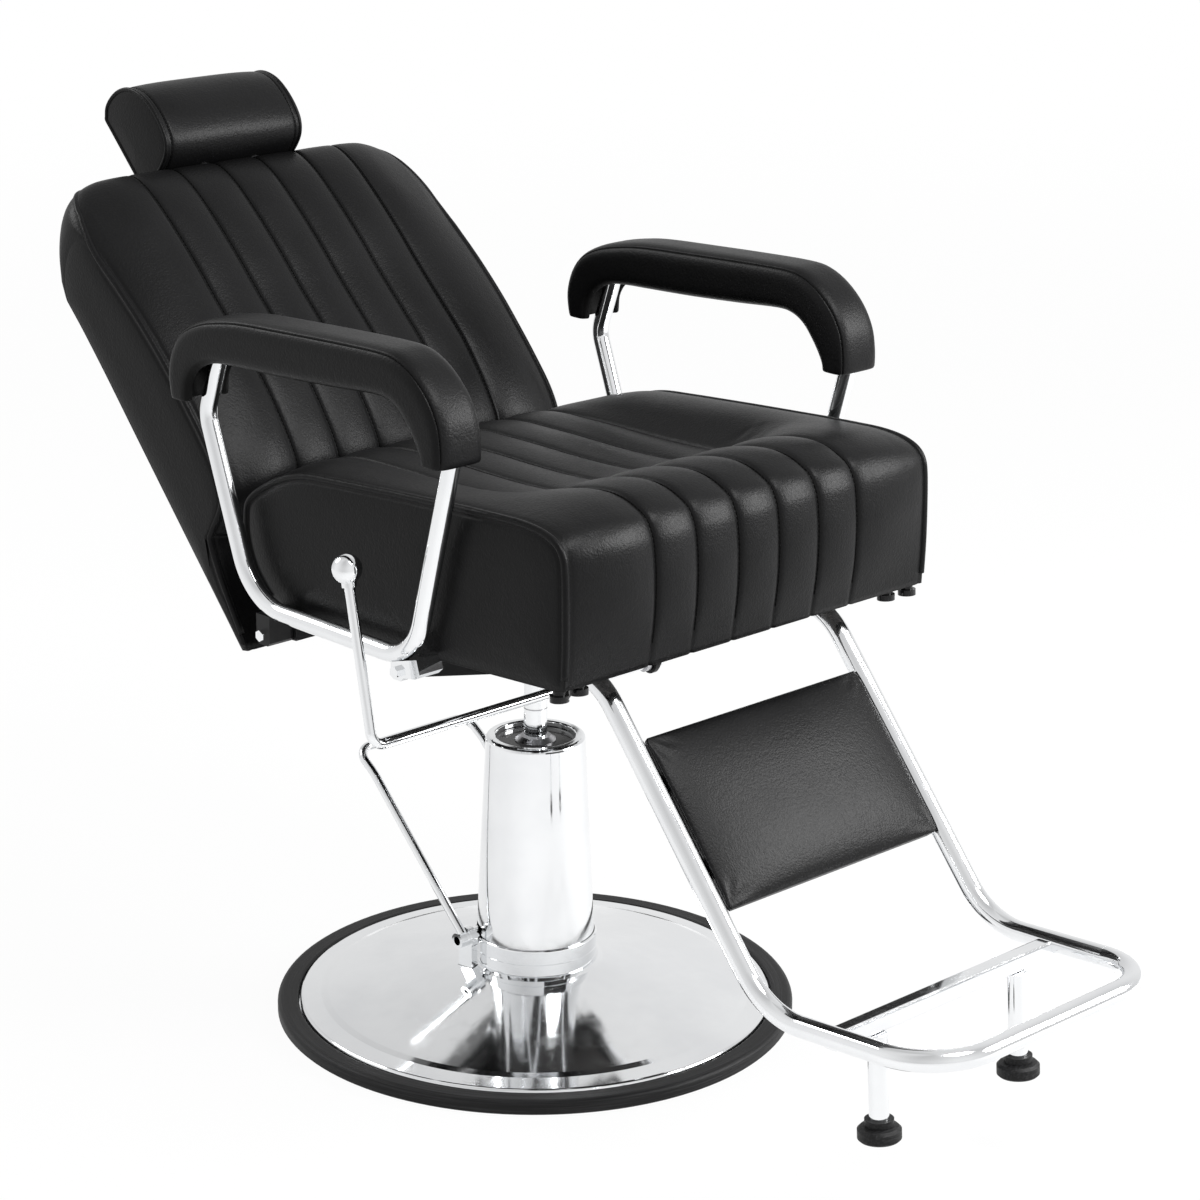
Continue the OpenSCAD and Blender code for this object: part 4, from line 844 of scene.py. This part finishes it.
backPanel = [
    0.04, 0.1, 0.17, 0.25, 0.33, 0.42, 0.5, 0.57, 0.63, 0.69, 0.74, 0.79, 0.83, 0.87, 0.885, 0.92, 0.95,
    0.975, 0.99, 1.0
]
backCaps = [
    (0.03, 0.0), (0.07, 0.0006), (0.11, 0.001), (0.16, 0.0014), (0.25, 0.002), (0.45, 0.0028),
    (0.7, 0.003), (0.985, 0.003)
]


def onBack(points):
    # from places across, up and out of the back to the chair
    turned = np.stack([points[..., 0], -points[..., 2], points[..., 1]], -1)
    return tilted(turned, backLook["pivot"], -math.radians(backLook["lean"]))


def backHeight(share, x):
    # height up the back of a share of its length, with the top corners rounded
    look = backLook
    into = max(0.0, abs(x) - (look["width"] / 2 - look["corner"]))
    full = look["foot"] + look["length"]
    top = full - look["corner"] + math.sqrt(max(0.0, look["corner"] ** 2 - into ** 2))
    plain = look["foot"] + share * look["length"]
    knee = look["foot"] + look["knee"] * look["length"]
    return np.where(plain < knee, plain, knee + (plain - knee) * (top - knee) / (full - knee))


def backOutline(x, rows):
    # the face, then the rear panel from the top down, set in where the shell lies behind it
    look = backLook

    def placed(points):
        return np.stack([backHeight(points[:, 0], x), points[:, 1] / 1000], 1)

    blend, crown, pocket = channelState(x, look["width"] / 2, look["panelCrown"])
    line = placed(through(backEdge, rows) * (1 - blend) + through(backMiddle, rows) * blend)
    line += lineNormals(line) * (crown * rowFade(rows, 1, look["crownEnd"]))[:, None]
    deep = look["shell"] * 1000 if pocket else 0.0
    rear = through(backRear, np.arange(0, len(backRear) - 1 + 0.01, 0.5)) + np.array([0, deep])
    return np.concatenate([line, placed(np.array([(0.871, -40.5), *rear, (0.077, -55), (0.01, -57)]))])


def cornerPath(grid, edge, inner, rows, turn):
    # up the side edge as far as the turn, then inwards over the rounded top corner
    path = []
    for row in rows:
        share = max(row - turn, 0) / (rows[-1] - turn)
        place = edge + (inner - edge) * share ** backLook["turnBend"]
        low = min(int(place), len(grid) - 2)
        path.append(grid[low, row] * (1 - place + low) + grid[low + 1, row] * (place - low))
    return np.array(path)


def buildBack():
    look = backLook
    grid, seams, caps, pinned = channelled(look, backEdge, backOutline, backPanel, backCaps)
    world = puffed("back", onBack(grid), pinned, look)

    fine, topRows, rowPlace = refined(world, caps, seams, len(backEdge) - 1)
    caps *= 2
    fine, mark = creased(fine, caps, look, rowPlace)
    cushion = gridObject("backCushion", fine, seam=mark)
    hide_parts("backrest_cushion")
    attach(cushion, "backrest")

    normals = gridNormals(fine)
    columnX = fine[:, topRows // 2, 0]
    trims = []
    run = range(look["weltFrom"], topRows - look["weltTo"])
    atEnd = np.clip((np.arange(len(run)) - len(run) + look["turnRows"]) / look["turnRows"], 0, 1)
    sunk = look["weltSunk"] + look["turnSunk"] * atEnd[:, None] ** 2
    turn = round(look["turn"] * rowsPerPoint * 2)
    for side, edge in sideEdges(fine, caps):
        inner = int(np.argmin(abs(columnX - side * (look["width"] / 2 - look["turnEnd"]))))
        path, lift = (cornerPath(source, edge, inner, run, turn) for source in (fine, normals))
        path = path - lift * sunk - np.array([side * channelLook["weltIn"], 0, 0])
        trims.append(tubeAlong(path, look["piping"], sides=12))
    piping = joined("backPiping", trims, "upholstery")
    stitching = joined("backStitching", seamStitches(fine, normals, topRows, look), "thread")
    for piece in (piping, stitching):
        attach(piece, "backrest")
    print("back cushion sewn:", len(cushion.data.polygons), "faces")


buildBack()

# headrest: its outline is in shares of its length and depth

headLook = {
    "width": 0.212, "length": 0.122, "depth": 0.088, "foot": 0.567, "backV": -0.0085, "crown": 0.0036,
    "middle": (0.5, 0.45), "pressure": 2.0, "cap": 0.004, "seamAt": 0.916, "crease": 0.0012,
    "creaseWidth": 0.0014, "piping": 0.0026, "weltSunk": 0.0008, "backSteps": 10, "finer": 3,
    "middleRow": 20, "stitchRows": 100,
    "stitch": {"length": 0.0040, "gap": 0.0014, "thick": 0.0008}
}
headLine = [
    (0.18, 0), (0.05, 0.17), (0, 0.38), (0.01, 0.62), (0.06, 0.82), (0.17, 0.95), (0.34, 1), (0.54, 0.99),
    (0.72, 0.92), (0.88, 0.76), (0.97, 0.55), (1, 0.34), (0.98, 0.14), (0.9, 0)
]
headShares = [0.2, 0.4, 0.55, 0.7, 0.82, 0.89, 0.903, 0.916, 0.93, 0.95, 0.985, 1]
headCaps = [(0.03, 0.0), (0.12, 0.001), (0.3, 0.002), (0.55, 0.003), (0.8, 0.0034), (0.97, 0.0035)]


def buildHeadrest():
    look = headLook
    half = look["width"] / 2
    rows = rowsOf(headLine)
    size, foot = np.array([look["length"], look["depth"]]), np.array([look["foot"], look["backV"]])
    line = through(headLine, rows) * size + foot
    back = [line[-1] + (line[0] - line[-1]) * share for share in evenShares(look["backSteps"])[1:-1]]
    fullness = lineNormals(line) * rowFade(rows, 0, len(headLine) - 1)[:, None] * look["crown"]
    places = np.array([-x for x in headShares[::-1]] + [0] + headShares) * half
    crowned = [line + fullness * (1 - abs(x / half) ** 4) for x in places]
    grid = sectioned(places, [np.concatenate([face, back]) for face in crowned])
    centre = foot + np.array(look["middle"]) * size
    targets = [np.array([places[end], *centre]) for end in (0, -1)]
    grid = withCaps(grid, targets, headCaps)
    caps = len(headCaps)
    world = puffed("headrest", onBack(grid), heldByThread(grid, caps, 1, len(rows) - 1), look)

    breaks = [0, caps, len(grid) - 1 - caps, len(grid) - 1]
    fine = finerColumns(world, breaks, lambda first, last: evenShares((last - first) * look["finer"]))
    caps *= look["finer"]
    closed = np.concatenate([fine, fine[:, :1]], 1)
    fine = acrossRows(closed, np.arange(0, closed.shape[1] - 1, 0.5))
    seamAt = look["seamAt"] * half
    carve = look["crease"] * dip(abs(fine[:, :, 0]) - seamAt, look["creaseWidth"])
    fine -= gridNormals(fine) * carve[..., None]
    cushion = gridObject("headrestPad", fine)
    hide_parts("headrest_pad")
    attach(cushion, "headrest")

    normals = gridNormals(fine)
    columnX = fine[:, look["middleRow"], 0]
    trims, threads = [], []
    for side, edge in sideEdges(fine, caps):
        path = fine[edge] - normals[edge] * look["weltSunk"]
        trims.append(tubeAlong(np.concatenate([path, path[:1]]), look["piping"], sides=10))
        near = int(np.argmin(abs(columnX - side * seamAt)))
        seam = slice(look["stitchRows"])
        threads += stitchesAlong(fine[near, seam], normals[near, seam], **look["stitch"])
    piping = joined("headrestPiping", trims, "upholstery")
    stitching = joined("headrestStitching", threads, "thread")
    for piece in (piping, stitching):
        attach(piece, "headrest")
    print("headrest sewn")


buildHeadrest()

# armrests: outlines in millimetres, rearwards and down from the top, from the rear end to the front one

padLook = {
    "top": 0.895, "width": 0.066, "side": 0.310, "outset": 0.0015, "crown": 0.003, "square": 0.45,
    "around": 56, "seamTurns": (45, 135), "seamSteps": (-7.5, -5, -2.5, 0, 2.5, 5, 7.5), "clear": 9,
    "seam": 0.0016, "seamWidth": 2.6, "markWidth": 1.8, "seamFade": 1.5, "taper": 0.005, "hollow": 0.55,
    "hollowHalf": 0.36, "hollowEnd": 6.0, "hollowFade": 2.5, "hollowEdge": 0.5,
    "mouth": [(0.85, 0.036), (0.5, 0.035), (0.24, 0.03), (0.17, 0.012), (0.13, 0.002), (0.06, 0.0)],
    "shadedMouthRings": 4, "nose": [0.08, 0.15, 0.5, 0.9], "endRows": 10, "noseRows": 8,
    "stitch": {"length": 0.0042, "gap": 0.0014, "thick": 0.0009}
}
padOuter = [
    (240, 119), (245, 116), (249, 89), (241, 61), (222, 39), (190, 24), (150, 15), (110, 10), (36, 6),
    (-50, 2), (-119, 0), (-150, 3), (-178, 16), (-202, 37), (-217, 62), (-222, 87), (-222, 110),
    (-218, 113)
]
padInner = [
    (216, 119), (211, 117), (208, 98), (198, 83), (182, 73), (165, 68), (140, 66), (110, 65), (36, 62),
    (-45, 57), (-112, 52), (-138, 55), (-156, 65), (-170, 81), (-180, 95), (-186, 105), (-188, 111),
    (-192, 113)
]


def padTurns():
    # angles round the pad, closer together at its two seams
    look = padLook
    seamTurns = np.radians(look["seamTurns"])
    plain = np.linspace(0, 2 * math.pi, look["around"], endpoint=False) + math.pi / look["around"]
    plain = plain[nearest(plain, seamTurns) > math.radians(look["clear"])]
    close = seamTurns[:, None] + np.radians(look["seamSteps"])
    return np.sort(np.concatenate([plain, close.reshape(-1)])), seamTurns


def squared(wave):
    # a sine or cosine that runs round a softened square
    return np.sign(wave) * abs(wave) ** padLook["square"]


def buildArmPad(side, name, nodeName):
    look = padLook
    last = len(padOuter) - 1
    at = rowsOf(padOuter)
    outer, inner = through(padOuter, at) / 1000, through(padInner, at) / 1000
    fromEnd = np.minimum(at, last - at)
    hollow = np.clip((look["hollowEnd"] - at) / look["hollowFade"], 0, 1)
    turn, seamTurns = padTurns()
    grid = []
    for k, thickness in enumerate(outer - inner):
        draw = look["taper"] * (1 - min(1, fromEnd[k])) ** 2
        w = squared(np.cos(turn)) * (look["width"] / 2 - draw)
        cave = np.maximum(0, 1 - abs(w / (look["hollowHalf"] * look["width"])) ** 3)
        t = 0.5 + 0.5 * squared(np.sin(turn)) + look["hollow"] * hollow[k] * cave * (turn > math.pi)
        crown = look["crown"] * np.maximum(0, np.sin(turn)) ** 2 * min(1, fromEnd[k])
        place = inner[k] + thickness * t[:, None] + unit(thickness) * crown[:, None]
        grid.append(np.stack([w, place[:, 0], look["top"] - place[:, 1]], 1))
    grid = np.array(grid) + np.array([side * (look["side"] + look["outset"]), 0, 0])
    fromSeam = nearest(turn, seamTurns)
    reach = np.clip(fromEnd / look["seamFade"], 0, 1)[:, None]
    carve = look["seam"] * dip(fromSeam, math.radians(look["seamWidth"])) * reach
    grid -= gridNormals(grid) * carve[..., None]
    centres = grid.mean(1)
    into = unit(centres[look["endRows"]] - centres[0])
    mouth = [grid[0] + (centres[0] - grid[0]) * share + into * deep for share, deep in look["mouth"]]
    nose = [grid[-1] + (centres[-1] - grid[-1]) * share for share in look["nose"]]
    under = abs(turn - 1.5 * math.pi) < 0.5 * math.pi - look["hollowEdge"]
    # the dark seam lines, plus painted shade on the underside inside the hollow rear end, where the sleeve
    # is shadowed
    mark = np.maximum(dip(fromSeam, math.radians(look["markWidth"])) * reach, under * hollow[:, None])
    grid = np.concatenate([mouth, grid, nose])
    mark = np.pad(mark, ((len(mouth), len(nose)), (0, 0)))
    # painted shade: the first rings of the mouth into the hollow are darkened in full
    mark[:look["shadedMouthRings"]] = 1
    cushion = gridObject(name, grid, seam=mark)
    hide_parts(nodeName)
    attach(cushion, "seat")

    normals = gridNormals(grid)
    threads = []
    for seamTurn in seamTurns:
        corner = int(np.argmin(abs(turn - seamTurn)))
        run = slice(look["endRows"], -look["noseRows"])
        threads += stitchesAlong(grid[run, corner], normals[run, corner], **look["stitch"])
    stitching = joined(name + "Stitching", threads, "thread")
    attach(stitching, "seat")


buildArmPad(-1, "armPadLeft", "arm_pad_left")
buildArmPad(1, "armPadRight", "arm_pad_right")
print("armrests sewn")

# calf pad, on the slope between the seat's front edge and the foot bar

calfLook = {
    "half": 0.1685, "top": 0.0865, "length": 0.206, "thick": 0.009, "roll": 0.002,
    "crown": 0.015, "inset": 0.003, "pleat": 0.0011, "pleatAt": 0.021, "pleatWidth": 0.013, "pleats": 10,
    "columns": 62, "rows": 46, "closeEdge": (0, 0.006, 0.02, 0.04), "closeTo": 0.06,
    "rearColumns": (0.97, 0.6, 0.2, -0.2, -0.6, -0.97), "fullness": 2.6, "shoulder": 0.6, "rear": -0.0039,
    "slopeTop": -0.296, "slopeFoot": -0.5585, "tubeHalf": 0.0122, "footPlane": (-0.594, 0.2275),
    "footRake": 3.95
}


def calfSlope():
    # both ends of the footrest's slope, in the side view
    look = calfLook
    topHeight = seatLook["height"] - look["slopeTop"] * math.tan(math.radians(seatLook["rake"]))
    topHeight -= look["tubeHalf"]
    planeY, planeZ = look["footPlane"]
    footHeight = planeZ + (planeY - look["slopeFoot"]) * math.tan(math.radians(look["footRake"]))
    return np.array([look["slopeTop"], topHeight]), np.array([look["slopeFoot"], footHeight])


def closeAtEnds(low, count):
    # places from low to 1 that crowd together at both ends
    steps = np.array(calfLook["closeEdge"])
    between = np.linspace(low + calfLook["closeTo"], 1 - calfLook["closeTo"], count)
    return np.concatenate([low + steps, between, 1 - steps[::-1]])


def pillow(place):
    # 1 in the middle of a piece and 0 at both edges, which lie at -1 and 1
    return np.maximum(0.0, 1 - abs(place) ** calfLook["fullness"]) ** calfLook["shoulder"]


def buildCalfPad():
    look = calfLook
    slopeTop, slopeFoot = calfSlope()
    down = unit(slopeFoot - slopeTop)
    out = np.array([down[1], -down[0]])
    widths = closeAtEnds(-1, look["columns"])
    rearColumns = look["rearColumns"]
    grid = []
    for share in closeAtEnds(0, look["rows"]):
        lift = pillow(2 * share - 1)
        aside, below = (1 - abs(widths)) * look["half"], min(share, 1 - share) * look["length"]
        gather = dip(np.hypot(aside, below) - look["pleatAt"], look["pleatWidth"])
        pleat = look["pleat"] * gather * np.sin(look["pleats"] * np.arctan2(below, aside + 1e-9))
        rise = look["crown"] * lift * pillow(widths) - look["roll"] * (1 - lift) + pleat
        height = np.concatenate([look["thick"] + rise, np.full(len(rearColumns), look["rear"])])
        inset = look["inset"] * (1 - min(1, lift * 3))
        across = np.concatenate([widths, rearColumns]) * (look["half"] - inset)
        along = slopeTop + down * (look["top"] + share * look["length"])
        grid.append(np.stack([across, along[0] + out[0] * height, along[1] + out[1] * height], 1))
    cushion = gridObject("calfPad", np.array(grid))
    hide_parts("calf_pad")
    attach(cushion, "seat")


buildCalfPad()
print("footrest pad sewn")

# welt and screws of the back's rear panel

rearLook = {
    "half": 0.2525, "low": 0.004, "high": 0.4824, "cut": 0.066, "step": 0.012, "softening": 6,
    "piping": 0.0032, "out": 0.0006, "screw": 0.0062, "screwFoot": -0.001, "screwHigh": 0.0024,
    "screws": [(0.232, 0.025), (0.232, 0.21), (0.232, 0.38), (0.09, 0.46)]
}


def onRear(x, height, out):
    # a point on the rear face of the back, or a little way out from it
    share = (height - backLook["foot"]) / backLook["length"]
    line = np.array(sorted(backRear))
    depth = np.interp(share, line[:, 0], line[:, 1]) / 1000
    return onBack(np.array([x, height, depth - out]))


def buildRearPanel():
    look = rearLook
    half, low, high, cut = (look[k] for k in ("half", "low", "high", "cut"))
    right = [(half - cut, high), (half, high - cut), (half, low)]
    corners = [(-x, z) for x, z in right[::-1]] + right
    line = []
    for (x0, z0), (x1, z1) in zip(corners, corners[1:]):
        steps = max(4, round(math.hypot(x1 - x0, z1 - z0) / look["step"]))
        line += [(x0 + (x1 - x0) * share, z0 + (z1 - z0) * share) for share in evenShares(steps)[:-1]]
    line = np.array(line + [corners[-1]])
    for _ in range(look["softening"]):
        line[1:-1] = (line[:-2] + line[1:-1] * 2 + line[2:]) / 4
    welt = tubeAlong([onRear(x, z, look["out"]) for x, z in line], look["piping"], sides=10)
    piping = joined("rearPiping", [welt], "upholstery")
    screws = []
    for side in (-1, 1):
        for x, z in look["screws"]:
            ends = [onRear(side * x, z, look[end]) for end in ("screwFoot", "screwHigh")]
            screws.append(tubeAlong(ends, look["screw"], sides=16))
    heads = joined("rearScrews", screws, "black_paint")
    for piece in (piping, heads):
        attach(piece, "backrest")
    print("rear panel trimmed")


buildRearPanel()

scene.view_settings.view_transform = "Standard"
